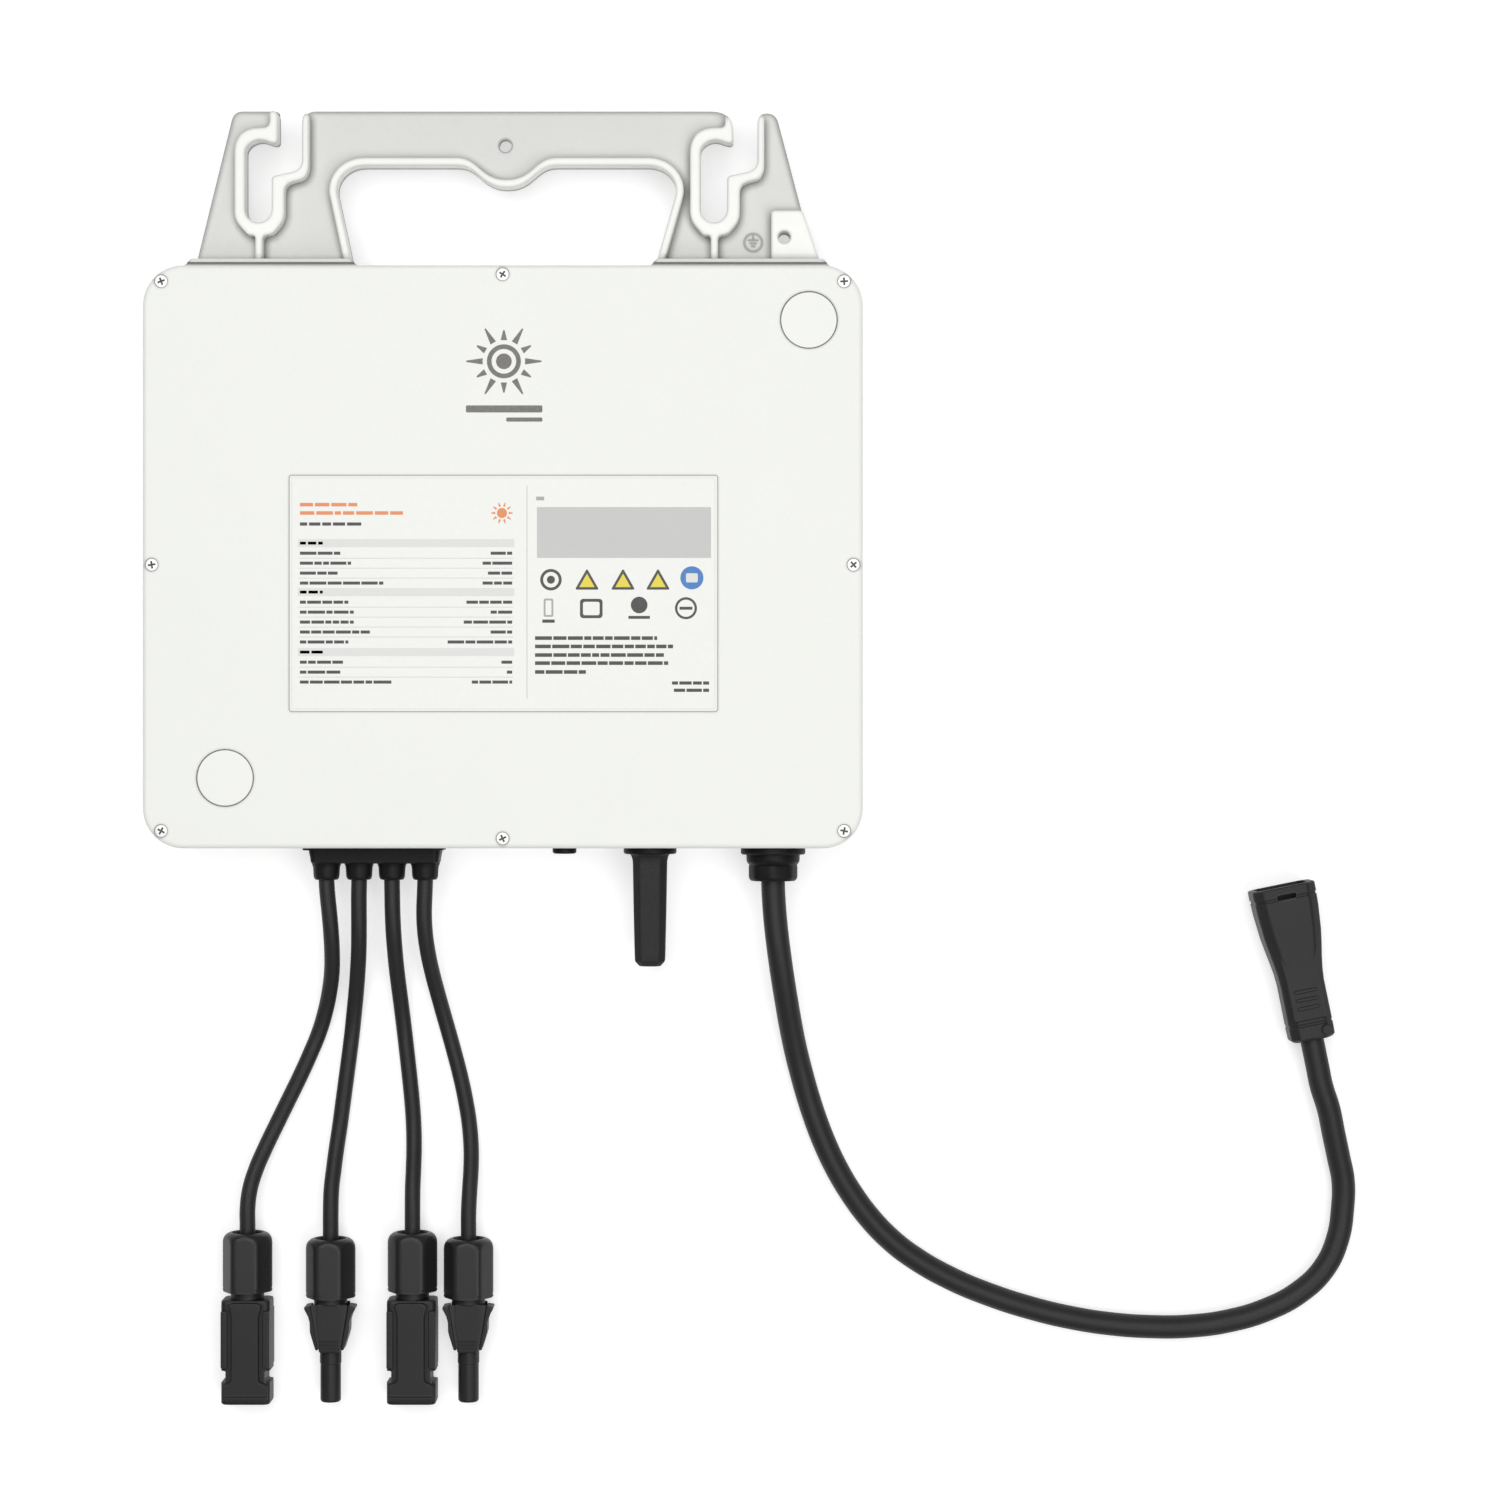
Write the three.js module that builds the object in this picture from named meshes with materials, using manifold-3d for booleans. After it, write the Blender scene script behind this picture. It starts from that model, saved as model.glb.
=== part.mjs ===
// Two-channel solar micro inverter, lying on its back.
// Millimetres. +Z points out of the front cover, +Y towards the hanger bracket.
// The origin is the centre of the housing's flat back face.
import * as THREE from 'three';
import { mergeVertices } from 'three/addons/utils/BufferGeometryUtils.js';
import Module from 'manifold-3d';

const wasm = await Module();
wasm.setup();

// ---------------------------------------------------------------- driving dimensions
const WIDTH = 268;
const HEIGHT = 217;
const CORNER = 15;
const WALL = 9;
const FLOOR = 6.5;
const RIM = 34.8; // height of the housing rim, where the cover seats
const FRONT = 38; // height of the cover's front face
const TOP_EDGE = HEIGHT / 2;
const BOTTOM_EDGE = -HEIGHT / 2;
const GLAND_AXIS = 19; // height of every gland, lamp and antenna axis above the back
const GAP = 0.3; // assembly gap between pieces that touch

const FIN = { count: 8, pitch: 13, groove: 7, depth: 3, length: 190 };
const GASKET = { inset: 6.4, width: 1.6, height: 1.6, slack: 0.3 };
const COVER_SCREWS = [
  [-127, 102.4], [0, 105], [127, 102.4], [130.5, -3],
  [127, -102], [0, -104.8], [-127, -102], [-130.5, -3],
];
const PLUGS = { upper: [113.9, 88], lower: [-103.2, -82.3] };
const PLUG = { radius: 10.4, neck: 9, step: 1.6, length: 4.6 };
const LABEL = { left: -79.8, right: 80.5, bottom: -58.1, top: 30.7, corner: 1.5, thickness: 0.2 };

const BRACKET = { top: 169.7, back: 14, web: 17.5, front: 24, foot: 4, footBack: 12, footFront: 27 };
const RIB_MARGIN = 3; // width of the rib round the hand hole
const HOOK_SLOTS = [-92.9, 78.4]; // X of each hook slot's centre line
const SLOT = { half: 5, bottom: 126.5, top: 157.6 };
const BRACKET_SCREWS = [-107, -70, 66, 92];
const BRACKET_SCREW_AXIS = 21;
const EARTH_PAD = { left: 99.9, top: 131.1, hole: [104.9, 121], radius: 2.25 };

const LEAD_EXITS = [-67.8, -55.5, -43.1, -30.6]; // X of the four solar leads at the gland
const LEAD_RADIUS = 3;
const LEAD_GLAND_END = -120.9;
const AC_X = 100.7;
const AC_RADIUS = 4.5;
const AC_GLAND_END = -121.3;
const ANTENNA_X = 54.3;
const LAMP_X = 22;

const CONNECTOR_AXIS = 9.6; // height of the solar connectors' axes above the floor
const CONNECTORS = [
  { number: 1, x: -99, top: -255.1, type: 'socket' },
  { number: 2, x: -67.4, top: -257.4, type: 'plug' },
  { number: 3, x: -36.3, top: -255.1, type: 'socket' },
  { number: 4, x: -15, top: -257.4, type: 'plug' },
];
const NUT = { radius: 9.3, length: 22.4, bore: 7.1, cableBore: 3.95, endWall: 4, sides: 8 };
const NECK = { radius: 6.3, start: -7 };
const SOCKET = { end: -64.6, bodyStart: -25.1, notch: [-56.3, -51.7], half: 9.5, height: 7.8, bore: 4.3 };
const PLUG_NOSE = { start: -42.4, end: -62, radius: 3.9, bore: 2.6 };
const PLUG_CORE = -24.2; // local Y at which the plug's flat core begins
const ARM_HALF_HEIGHT = 4.5;
const AC_CONNECTOR = { base: [305.4, -181.6], height: 10.6, angle: 11.5, length: 59.3 };
const AC_MOUTH = { width: 19, height: 15, depth: 24, insertDepth: 11.5 };

const BOARD = { x: [-118, 118], y: [-90, 90], z: [12, 13.6] };
const BOARD_POSTS = [[-105, -80], [105, -80], [-105, 80], [105, 80]];
const POST_RADIUS = 4;
const RESIN_DEPTH = 10;

// Centre lines. The four solar leads share the heights of their stations.
const LEAD_STATIONS = [
  [-121.2, 19], [-127, 19], [-133, 18.9], [-140, 17.9], [-148, 15.2], [-156, 11.6], [-164, 7.9],
  [-172, 4.9], [-180, 3.3], [-188, 3.2], [-197, 3.2], [-206, 3.2], [-215, 3.2], [-224, 4.6],
  [-232, 7], [-239, 8.9],
];
const LEAD_X = [
  [-67.8, -67.4, -66.8, -66.3, -66.2, -66.7, -68.1, -70.1, -72.7, -76, -80.1, -84.5, -88.9, -93.1,
    -96.3, -98.2],
  [-55.5, -55.6, -55.6, -55.7, -56.1, -56.9, -57.9, -59, -60, -61, -62.2, -63.4, -64.6, -65.8,
    -66.6, -67.2],
  [-43.1, -43, -42.9, -42.7, -42.4, -42, -41.4, -40.7, -39.9, -39, -38, -37.1, -36.5, -36.2,
    -36.2, -36.3],
  [-30.6, -30.8, -31, -30.8, -30, -28.7, -27, -25.1, -23, -20.8, -18.5, -16.6, -15.2, -14.4,
    -14.3, -14.6],
];
const AC_ROUTE = [
  [100.7, -121.6, 19], [101.1, -130.4, 19], [101.9, -139.4, 19], [103, -148.5, 18.6],
  [104.3, -157.7, 16.9], [105.8, -167, 14.2], [107.4, -176.3, 11], [109.3, -185.7, 8],
  [111.6, -195, 5.8], [114.2, -204.3, 4.8], [117.2, -213.4, 4.8], [120.8, -222.6, 4.8],
  [125.2, -231.8, 4.8], [130.6, -240.9, 4.8], [137.3, -250, 4.8], [145.2, -258.3, 4.8],
  [154, -265.2, 4.8], [168.3, -273.4, 4.8], [183.6, -279.8, 4.8], [198.8, -284.7, 4.8],
  [214.1, -288.4, 4.8], [229.4, -290.8, 4.8], [244.6, -291.9, 4.8], [259.9, -291.7, 4.8],
  [275.1, -289.6, 4.8], [289.6, -285.2, 4.8], [301.8, -278.6, 4.8], [311, -269.6, 4.8],
  [316.6, -258.4, 4.8], [318.8, -246.5, 4.8], [318.2, -236.3, 5.4], [316.2, -226.9, 6.8],
  [314, -217.6, 8.5], [311.9, -208.3, 9.9],
];
// Distances back from the connector's base at which the AC cable already lies on its axis.
const AC_STRAIGHT = [18, 11, 5, GAP];

// ---------------------------------------------------------------- materials
const finish = (color, roughness, metalness = 0) =>
  new THREE.MeshStandardMaterial({ color, roughness, metalness });
const castWhite = finish(0xf3f4ef, 0.55, 0.1);
const castGrey = finish(0xe3e4df, 0.5, 0.2);
const steel = finish(0xb8b8b6, 0.35, 0.9);
const blackPlastic = finish(0x2e2e2e, 0.5);
const blackRubber = finish(0x232323, 0.8);
const cableJacket = finish(0x2a2a2a, 0.55);
const labelFilm = finish(0xf5f5f2, 0.4);
const tinnedCopper = finish(0xc9c4b8, 0.3, 0.9);
const boardGreen = finish(0x1f5a38, 0.5);
const ferrite = finish(0x3a3836, 0.7);
const pottingResin = finish(0x3d4043, 0.4);
const relayBlue = finish(0x2f4c7a, 0.4);

// ---------------------------------------------------------------- geometry helpers
const root = new THREE.Group();

// Merges a geometry's vertices, drops its empty triangles and turns its faces outwards.
function closed(geometry) {
  const bare = new THREE.BufferGeometry();
  bare.setAttribute('position', geometry.attributes.position);
  if (geometry.index) bare.setIndex(geometry.index);
  const merged = mergeVertices(bare, 1e-4);
  const corner = [new THREE.Vector3(), new THREE.Vector3(), new THREE.Vector3()];
  const triangles = [];
  let volume = 0;
  for (let i = 0; i < merged.index.count; i += 3) {
    const ids = [0, 1, 2].map((k) => merged.index.getX(i + k));
    if (new Set(ids).size < 3) continue;
    ids.forEach((id, k) => corner[k].fromBufferAttribute(merged.attributes.position, id));
    volume += corner[0].dot(corner[1].clone().cross(corner[2])) / 6;
    triangles.push(ids);
  }
  merged.setIndex(triangles.flatMap(([a, b, c]) => (volume < 0 ? [a, c, b] : [a, b, c])));
  return merged;
}

function solid(geometry) {
  const mesh = closed(geometry);
  return new wasm.Manifold(new wasm.Mesh({
    numProp: 3,
    vertProperties: new Float32Array(mesh.attributes.position.array),
    triVerts: new Uint32Array(mesh.index.array),
  }));
}

function geometryOf(manifold) {
  const mesh = manifold.getMesh();
  const geometry = new THREE.BufferGeometry();
  geometry.setAttribute('position', new THREE.BufferAttribute(mesh.vertProperties, 3));
  geometry.setIndex(new THREE.BufferAttribute(mesh.triVerts, 1));
  return geometry;
}

const join = (first, ...others) => others.reduce((sum, other) => sum.add(other), first);
const cut = (first, ...others) => others.reduce((rest, other) => rest.subtract(other), first);

function add(name, shape, material, parent = root) {
  const geometry = shape.getMesh ? geometryOf(shape) : closed(shape);
  geometry.computeVertexNormals();
  const mesh = new THREE.Mesh(geometry, material);
  mesh.name = name;
  parent.add(mesh);
}

function block([x0, x1], [y0, y1], [z0, z1]) {
  const geometry = new THREE.BoxGeometry(x1 - x0, y1 - y0, z1 - z0);
  return geometry.translate((x0 + x1) / 2, (y0 + y1) / 2, (z0 + z1) / 2);
}

// A flat outline in X and Y, raised from z0 to z1.
function prism(shape, z0, z1, curveSegments = 4) {
  const geometry = new THREE.ExtrudeGeometry(shape, {
    depth: z1 - z0,
    bevelEnabled: false,
    curveSegments,
  });
  return geometry.translate(0, 0, z0);
}

// A profile of [radius, distance] pairs turned about a line along Y or Z through a point.
function turned(profile, axis, [x, y, z], segments = 16) {
  const points = profile.map(([radius, distance]) => new THREE.Vector2(radius, distance));
  const geometry = new THREE.LatheGeometry(points, segments);
  if (axis === 'z') geometry.rotateX(Math.PI / 2);
  return geometry.translate(x, y, z);
}

function rod(radius, [from, to], axis, at, segments = 16) {
  return turned([[0, from], [radius, from], [radius, to], [0, to]], axis, at, segments);
}

function polygon(points) {
  return new THREE.Shape(points.map(([x, y]) => new THREE.Vector2(x, y)));
}

function roundedRectangle(width, height, radius, [x, y] = [0, 0]) {
  const [w, h] = [width / 2 - radius, height / 2 - radius];
  const shape = new THREE.Shape();
  shape.absarc(x + w, y + h, radius, 0, Math.PI / 2);
  shape.absarc(x - w, y + h, radius, Math.PI / 2, Math.PI);
  shape.absarc(x - w, y - h, radius, Math.PI, 1.5 * Math.PI);
  shape.absarc(x + w, y - h, radius, 1.5 * Math.PI, 2 * Math.PI);
  shape.closePath();
  return shape;
}

// Joins convex rings of points, each ring listed the same way round, into one closed skin.
function loft(rings) {
  const count = rings[0].length;
  const index = [];
  for (let ring = 0; ring < rings.length - 1; ring += 1) {
    for (let i = 0; i < count; i += 1) {
      const [a, b] = [ring * count + i, ring * count + ((i + 1) % count)];
      index.push(a, b, b + count, a, b + count, a + count);
    }
  }
  const last = (rings.length - 1) * count;
  for (let i = 1; i < count - 1; i += 1) {
    index.push(0, i + 1, i, last, last + i, last + i + 1);
  }
  const geometry = new THREE.BufferGeometry();
  const positions = rings.flat().flatMap((point) => point.toArray());
  geometry.setAttribute('position', new THREE.Float32BufferAttribute(positions, 3));
  geometry.setIndex(index);
  return geometry;
}

// The housing's rounded outline, set in from its edge, as a ring at one height.
function outlineRing(inset, z) {
  const shape = roundedRectangle(WIDTH - 2 * inset, HEIGHT - 2 * inset, CORNER - inset);
  return shape.extractPoints(3).shape.map(({ x, y }) => new THREE.Vector3(x, y, z));
}

function tube(points, radius, steps, sides) {
  const section = new THREE.Shape();
  section.absarc(0, 0, radius, 0, 2 * Math.PI);
  const ring = section.getPoints(sides / 2).slice(0, -1);
  const curve = new THREE.CatmullRomCurve3(points.map((point) => new THREE.Vector3(...point)));
  return new THREE.ExtrudeGeometry(new THREE.Shape(ring), {
    extrudePath: curve,
    steps,
    bevelEnabled: false,
  });
}

// ---------------------------------------------------------------- housing
function rearHousing() {
  const shell = loft([outlineRing(2, 0), outlineRing(0, 2), outlineRing(0, RIM)]);
  const cavity = loft([outlineRing(WALL, FLOOR), outlineRing(WALL, RIM + 1)]);
  let housing = cut(solid(shell), solid(cavity));
  for (let i = 0; i < FIN.count; i += 1) {
    for (const side of [-1, 1]) {
      const x = side * (i + 0.5) * FIN.pitch;
      const groove = block(
        [x - FIN.groove / 2, x + FIN.groove / 2], [-FIN.length / 2, FIN.length / 2], [-1, FIN.depth],
      );
      housing = cut(housing, solid(groove));
    }
  }
  for (const [x, y] of BOARD_POSTS) {
    housing = join(housing, solid(rod(POST_RADIUS, [FLOOR - 1, BOARD.z[0]], 'z', [x, y, 0], 12)));
  }
  const outer = outlineRing(GASKET.inset - GASKET.slack, RIM - GASKET.height);
  const inner = outlineRing(GASKET.inset + GASKET.width + GASKET.slack, RIM - GASKET.height);
  const raise = (ring, z) => ring.map((point) => point.clone().setZ(z));
  const groove = cut(
    solid(loft([outer, raise(outer, RIM + 1)])),
    solid(loft([raise(inner, RIM - GASKET.height - 1), raise(inner, RIM + 2)])),
  );
  housing = cut(housing, groove);
  for (const [x, y] of COVER_SCREWS) {
    housing = cut(housing, solid(rod(1.8, [21, RIM + 1], 'z', [x, y, 0], 12)));
  }
  const through = [BOTTOM_EDGE - 1, BOTTOM_EDGE + WALL + 1];
  for (const [x, radius] of [[AC_X, 8.3], [ANTENNA_X, 4.3], [LAMP_X, 3.3]]) {
    housing = cut(housing, solid(rod(radius, through, 'y', [x, 0, GLAND_AXIS])));
  }
  housing = cut(housing, solid(block([-71.3, -26.7], through, [GLAND_AXIS - 4.8, GLAND_AXIS + 4.8])));
  for (const x of BRACKET_SCREWS) {
    const hole = rod(2.2, [TOP_EDGE - WALL - 1, TOP_EDGE + 1], 'y', [x, 0, BRACKET_SCREW_AXIS], 12);
    housing = cut(housing, solid(hole));
  }
  return housing;
}

function coverGasket() {
  const rings = [GASKET.inset, GASKET.inset + GASKET.width].map((inset) =>
    [RIM - GASKET.height, RIM].map((z) => outlineRing(inset, z)));
  const hole = rings[1].map((ring, i) => ring.map((point) => point.clone().setZ(point.z + i * 2 - 1)));
  return cut(solid(loft(rings[0])), solid(loft(hole)));
}

function frontCover() {
  const skin = loft([outlineRing(0, RIM), outlineRing(0, FRONT - 1), outlineRing(1, FRONT)]);
  let cover = solid(skin);
  const countersink = [
    [0, RIM - 1], [1.8, RIM - 1], [1.8, FRONT - 1.8], [2.5, FRONT - 1], [2.5, FRONT + 1], [0, FRONT + 1],
  ];
  for (const [x, y] of COVER_SCREWS) {
    cover = cut(cover, solid(turned(countersink, 'z', [x, y, 0], 12)));
  }
  const step = FRONT - PLUG.step;
  const seat = [
    [0, RIM - 1], [PLUG.neck + GAP, RIM - 1], [PLUG.neck + GAP, step], [PLUG.radius + GAP, step],
    [PLUG.radius + GAP, FRONT + 1], [0, FRONT + 1],
  ];
  for (const [x, y] of Object.values(PLUGS)) {
    cover = cut(cover, solid(turned(seat, 'z', [x, y, 0], 32)));
  }
  return cover;
}

function addHousing() {
  add('rear_housing', rearHousing(), castWhite);
  add('cover_gasket', coverGasket(), blackRubber);
  add('front_cover', frontCover(), castWhite);
  const screw = [
    [0, 23], [1.5, 23], [1.5, FRONT - 1.7], [2.2, FRONT - 1], [2.2, FRONT - 0.3], [0, FRONT - 0.3],
  ];
  COVER_SCREWS.forEach(([x, y], i) => {
    add(`cover_screw_${i + 1}`, turned(screw, 'z', [x, y, 0], 12), steel);
  });
  const step = FRONT - PLUG.step;
  const plug = [
    [0, FRONT - PLUG.length], [PLUG.neck, FRONT - PLUG.length], [PLUG.neck, step],
    [PLUG.radius, step], [PLUG.radius, FRONT], [0, FRONT],
  ];
  for (const [place, [x, y]] of Object.entries(PLUGS)) {
    add(`potting_plug_${place}`, turned(plug, 'z', [x, y, 0], 32), castWhite);
  }
  const { left, right, bottom, top, corner, thickness } = LABEL;
  const middle = [(left + right) / 2, (bottom + top) / 2];
  const film = roundedRectangle(right - left, top - bottom, corner, middle);
  add('rating_label', prism(film, FRONT, FRONT + thickness, 3), labelFilm);
}

// ---------------------------------------------------------------- hanger bracket
// The bracket's outline from the front, with the top of each hook already open.
function bracketOutline() {
  const [left, right] = HOOK_SLOTS;
  const { top } = BRACKET;
  const shape = new THREE.Shape();
  shape.moveTo(-118.2, TOP_EDGE);
  shape.lineTo(119.6, TOP_EDGE);
  shape.lineTo(111.4, 132.5);
  shape.lineTo(102.7, 165.5);
  shape.quadraticCurveTo(101.8, top - 0.7, 98.3, top - 0.7);
  shape.quadraticCurveTo(right + 16.4, top - 0.7, right + 16.4, 165);
  shape.lineTo(right + 16.4, 159);
  shape.lineTo(right + 7.3, 159);
  shape.lineTo(right + 7.3, 161.7);
  shape.quadraticCurveTo(right + 7.3, top, right - 1, top);
  shape.lineTo(left + 20.6, top);
  shape.quadraticCurveTo(left + 16.4, top, left + 16.4, top - 4.2);
  shape.lineTo(left + 16.4, 159);
  shape.lineTo(left + 7.3, 159);
  shape.lineTo(left + 7.3, top - 2.5);
  shape.quadraticCurveTo(left + 7.3, top, left + 4.8, top);
  shape.lineTo(left - 7.1, top);
  shape.quadraticCurveTo(-103.4, top, -104.2, 166);
  shape.closePath();
  return shape;
}

// The slot that a rail bolt drops into: down the entry, across the neck, down the slot.
function hookSlot(x) {
  const { half, bottom, top } = SLOT;
  const shape = new THREE.Shape();
  shape.moveTo(x + 7.3, BRACKET.top + 1);
  shape.lineTo(x + 7.3, 157.4);
  shape.quadraticCurveTo(x + 7, 156.1, x + 5.4, 156.3);
  shape.lineTo(x + 3, 157.1);
  shape.quadraticCurveTo(x, 158.2, x - 2.6, 156.6);
  shape.quadraticCurveTo(x - half, 155.2, x - half, top - 5);
  shape.lineTo(x - half, bottom + half);
  shape.absarc(x, bottom + half, half, Math.PI, 2 * Math.PI);
  shape.lineTo(x + half, 142.6);
  shape.quadraticCurveTo(x + half, 143.8, x + 6.4, 144.2);
  shape.lineTo(x + 11.8, 146);
  shape.quadraticCurveTo(x + 16.4, 147, x + 16.4, 151);
  shape.lineTo(x + 16.4, BRACKET.top + 1);
  shape.closePath();
  return shape;
}

// The raised rib that runs round a hook slot, as the area inside its outer edge.
function hookRib(x) {
  return polygon([
    [x + 4.2, BRACKET.top + 1], [x + 4.2, 162.3], [x - 2.7, 162], [x - 6.8, 160], [x - 9, 155.5],
    [x - 9, 127.5], [x - 3.9, 121.7], [x - 1.2, 121.7], [x - 1.2, 110], [x + 1.6, 110],
    [x + 1.6, 121.7], [x + 5.2, 122], [x + 9.8, 127.5], [x + 9.8, 141], [x + 17.2, 143.8],
    [x + 19, 147.5], [x + 19, BRACKET.top + 1],
  ]);
}

// The hand hole, or with a margin the rib round it. Its top edge dips in the middle.
function handHole(margin) {
  const [side, top] = [margin, 147.9 + margin];
  const shape = new THREE.Shape();
  shape.moveTo(-57.2 - side, TOP_EDGE - 1);
  shape.lineTo(56.1 + side, TOP_EDGE - 1);
  shape.lineTo(63.8 + side, 136);
  shape.bezierCurveTo(65.6 + side, 142, 61 + side, top, 53.6, top);
  shape.lineTo(19.2, top);
  shape.bezierCurveTo(11, top, 10.5, top - 8.3, 0.5, top - 8.3);
  shape.bezierCurveTo(-9.5, top - 8.3, -10, top, -18.2, top);
  shape.lineTo(-52.8, top);
  shape.bezierCurveTo(-60.2 - side, top, -64.8 - side, 142, -63 - side, 136);
  shape.closePath();
  return shape;
}

function hangerBracket() {
  const { back, web, front, foot, footBack, footFront } = BRACKET;
  const outline = bracketOutline();
  const ribShapes = [...HOOK_SLOTS.map(hookRib), handHole(RIB_MARGIN)];
  const ribArea = ribShapes.map((shape) => solid(prism(shape, back, front)));
  const pad = polygon([
    [EARTH_PAD.left, TOP_EDGE], [125, TOP_EDGE], [125, EARTH_PAD.top], [EARTH_PAD.left, EARTH_PAD.top],
  ]);
  const raised = join(...ribArea, solid(prism(pad, back, front)));
  let bracket = join(
    solid(prism(outline, back, web)), raised.intersect(solid(prism(outline, back, front))),
  );
  bracket = cut(bracket, solid(prism(handHole(0), back - 1, front + 1, 8)));
  const flare = 3.6;
  for (const [from, to] of [[-121.5, -54.2], [53.4, 123]]) {
    const plate = polygon([
      [from, TOP_EDGE], [to, TOP_EDGE], [to - flare, TOP_EDGE + foot], [from + flare, TOP_EDGE + foot],
    ]);
    bracket = join(bracket, solid(prism(plate, footBack, footFront)));
  }
  for (const x of HOOK_SLOTS) {
    bracket = cut(bracket, solid(prism(hookSlot(x), back - 1, front + 1, 5)));
  }
  const through = [back - 1, front + 1];
  bracket = cut(
    bracket,
    solid(rod(EARTH_PAD.radius, through, 'z', [...EARTH_PAD.hole, 0])),
    solid(rod(2.4, through, 'z', [-0.4, 156.4, 0])),
  );
  for (const x of BRACKET_SCREWS) {
    const hole = rod(2.2, [TOP_EDGE - 1, TOP_EDGE + foot + 1], 'y', [x, 0, BRACKET_SCREW_AXIS], 12);
    bracket = cut(bracket, solid(hole));
  }
  return bracket;
}

function addBracket() {
  add('hanger_bracket', hangerBracket(), castGrey);
  const seat = TOP_EDGE - WALL;
  const tip = TOP_EDGE + BRACKET.foot - 0.2;
  const screw = [[0, seat - 3.2], [3.5, seat - 3.2], [3.5, seat], [1.9, seat], [1.9, tip], [0, tip]];
  BRACKET_SCREWS.forEach((x, i) => {
    add(`bracket_screw_${i + 1}`, turned(screw, 'y', [x, 0, BRACKET_SCREW_AXIS], 12), steel);
  });
}

// ---------------------------------------------------------------- bottom wall fittings
function addFittings() {
  const inside = BOTTOM_EDGE + WALL;
  const across = (half) => [GLAND_AXIS - half, GLAND_AXIS + half];
  const flange = roundedRectangle(53.2, 17, 4, [-49.7, 0]);
  const plate = prism(flange, 0, 1.1).rotateX(Math.PI / 2).translate(0, BOTTOM_EDGE, GLAND_AXIS);
  let gland = join(
    solid(plate),
    solid(block([-73.7, -24.6], [BOTTOM_EDGE - 6, BOTTOM_EDGE - 1], across(7))),
    solid(block([-71, -27], [BOTTOM_EDGE - 1, inside], across(4.5))),
  );
  const stub = [
    [0, BOTTOM_EDGE - 5], [4.85, BOTTOM_EDGE - 5], [4.85, BOTTOM_EDGE - 8.6], [4.3, BOTTOM_EDGE - 9.4],
    [4.3, LEAD_GLAND_END], [0, LEAD_GLAND_END],
  ];
  for (const x of LEAD_EXITS) {
    gland = join(gland, solid(turned(stub, 'y', [x, 0, GLAND_AXIS], 12)));
  }
  add('dc_gland_block', gland, blackPlastic);

  const acGland = [
    [0, inside], [8, inside], [8, BOTTOM_EDGE], [12.2, BOTTOM_EDGE], [12.2, BOTTOM_EDGE - 2.8],
    [10, BOTTOM_EDGE - 2.8], [10, BOTTOM_EDGE - 6.1], [8.8, BOTTOM_EDGE - 7.9],
    [8.6, AC_GLAND_END + 0.9], [7.7, AC_GLAND_END], [0, AC_GLAND_END],
  ];
  add('ac_gland', turned(acGland, 'y', [AC_X, 0, GLAND_AXIS], 20), blackPlastic);

  const flangeEnd = BOTTOM_EDGE - 2.6;
  const base = [
    [0, inside], [4, inside], [4, BOTTOM_EDGE], [10, BOTTOM_EDGE], [10, flangeEnd], [0, flangeEnd],
  ];
  add('antenna_base', turned(base, 'y', [ANTENNA_X, 0, GLAND_AXIS], 20), blackPlastic);
  const sheath = [
    [0, flangeEnd], [6.5, flangeEnd], [5.75, -150.4], [5.2, -152.2], [3.8, -153.4], [0, -153.4],
  ];
  add('antenna_sheath', turned(sheath, 'y', [ANTENNA_X, 0, GLAND_AXIS], 20), blackRubber);

  const lamp = [
    [0, inside], [3, inside], [3, BOTTOM_EDGE], [4.5, BOTTOM_EDGE], [4.5, BOTTOM_EDGE - 1.7],
    [3.4, BOTTOM_EDGE - 2.5], [0, BOTTOM_EDGE - 2.5],
  ];
  add('status_light', turned(lamp, 'y', [LAMP_X, 0, GLAND_AXIS]), blackPlastic);
}

// ---------------------------------------------------------------- solar connectors
// Each connector is drawn with its axis along Y, its nut's cable end at Y = 0, its nose
// towards -Y.
const AXIS = [0, 0, 0];

function couplingNut() {
  const { radius, length, bore, cableBore, endWall, sides } = NUT;
  return turned([
    [cableBore, 0], [6.5, 0], [radius, -2.5], [radius, 1 - length], [radius - 0.5, -length],
    [bore, -length], [bore, -endWall], [cableBore, -endWall], [cableBore, 0],
  ], 'y', AXIS, sides);
}

function clampRing() {
  const [near, far] = [-NUT.endWall - GAP, -NUT.endWall - 2.5];
  return turned([[3.5, near], [6.2, near], [6.2, far], [3.5, far], [3.5, near]], 'y', AXIS, 12);
}

function socketBody() {
  const { end, bodyStart, notch, half: side, height, bore } = SOCKET;
  const chamfer = 2;
  const section = (inset, y) => [
    [side - inset, height - chamfer], [side - chamfer, height - inset],
    [chamfer - side, height - inset], [inset - side, height - chamfer],
    [inset - side, chamfer - height], [chamfer - side, inset - height],
    [side - chamfer, inset - height], [side - inset, chamfer - height],
  ].map(([x, z]) => new THREE.Vector3(x, y, z));
  let body = join(
    solid(loft([
      section(0.8, bodyStart), section(0, bodyStart - 1.2), section(0, end + 1), section(0.6, end),
    ])),
    solid(rod(NECK.radius, [NECK.start, bodyStart - 2], 'y', AXIS, 12)),
  );
  for (const [from, to] of [[-side - 1, -7.5], [7.5, side + 1]]) {
    body = cut(body, solid(block([from, to], notch, [-height - 1, height + 1])));
  }
  return cut(
    body,
    solid(rod(bore, [end - 1, end + 24], 'y', AXIS)),
    solid(rod(1.8, [end + 23, end + 30], 'y', AXIS, 12)),
  );
}

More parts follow.
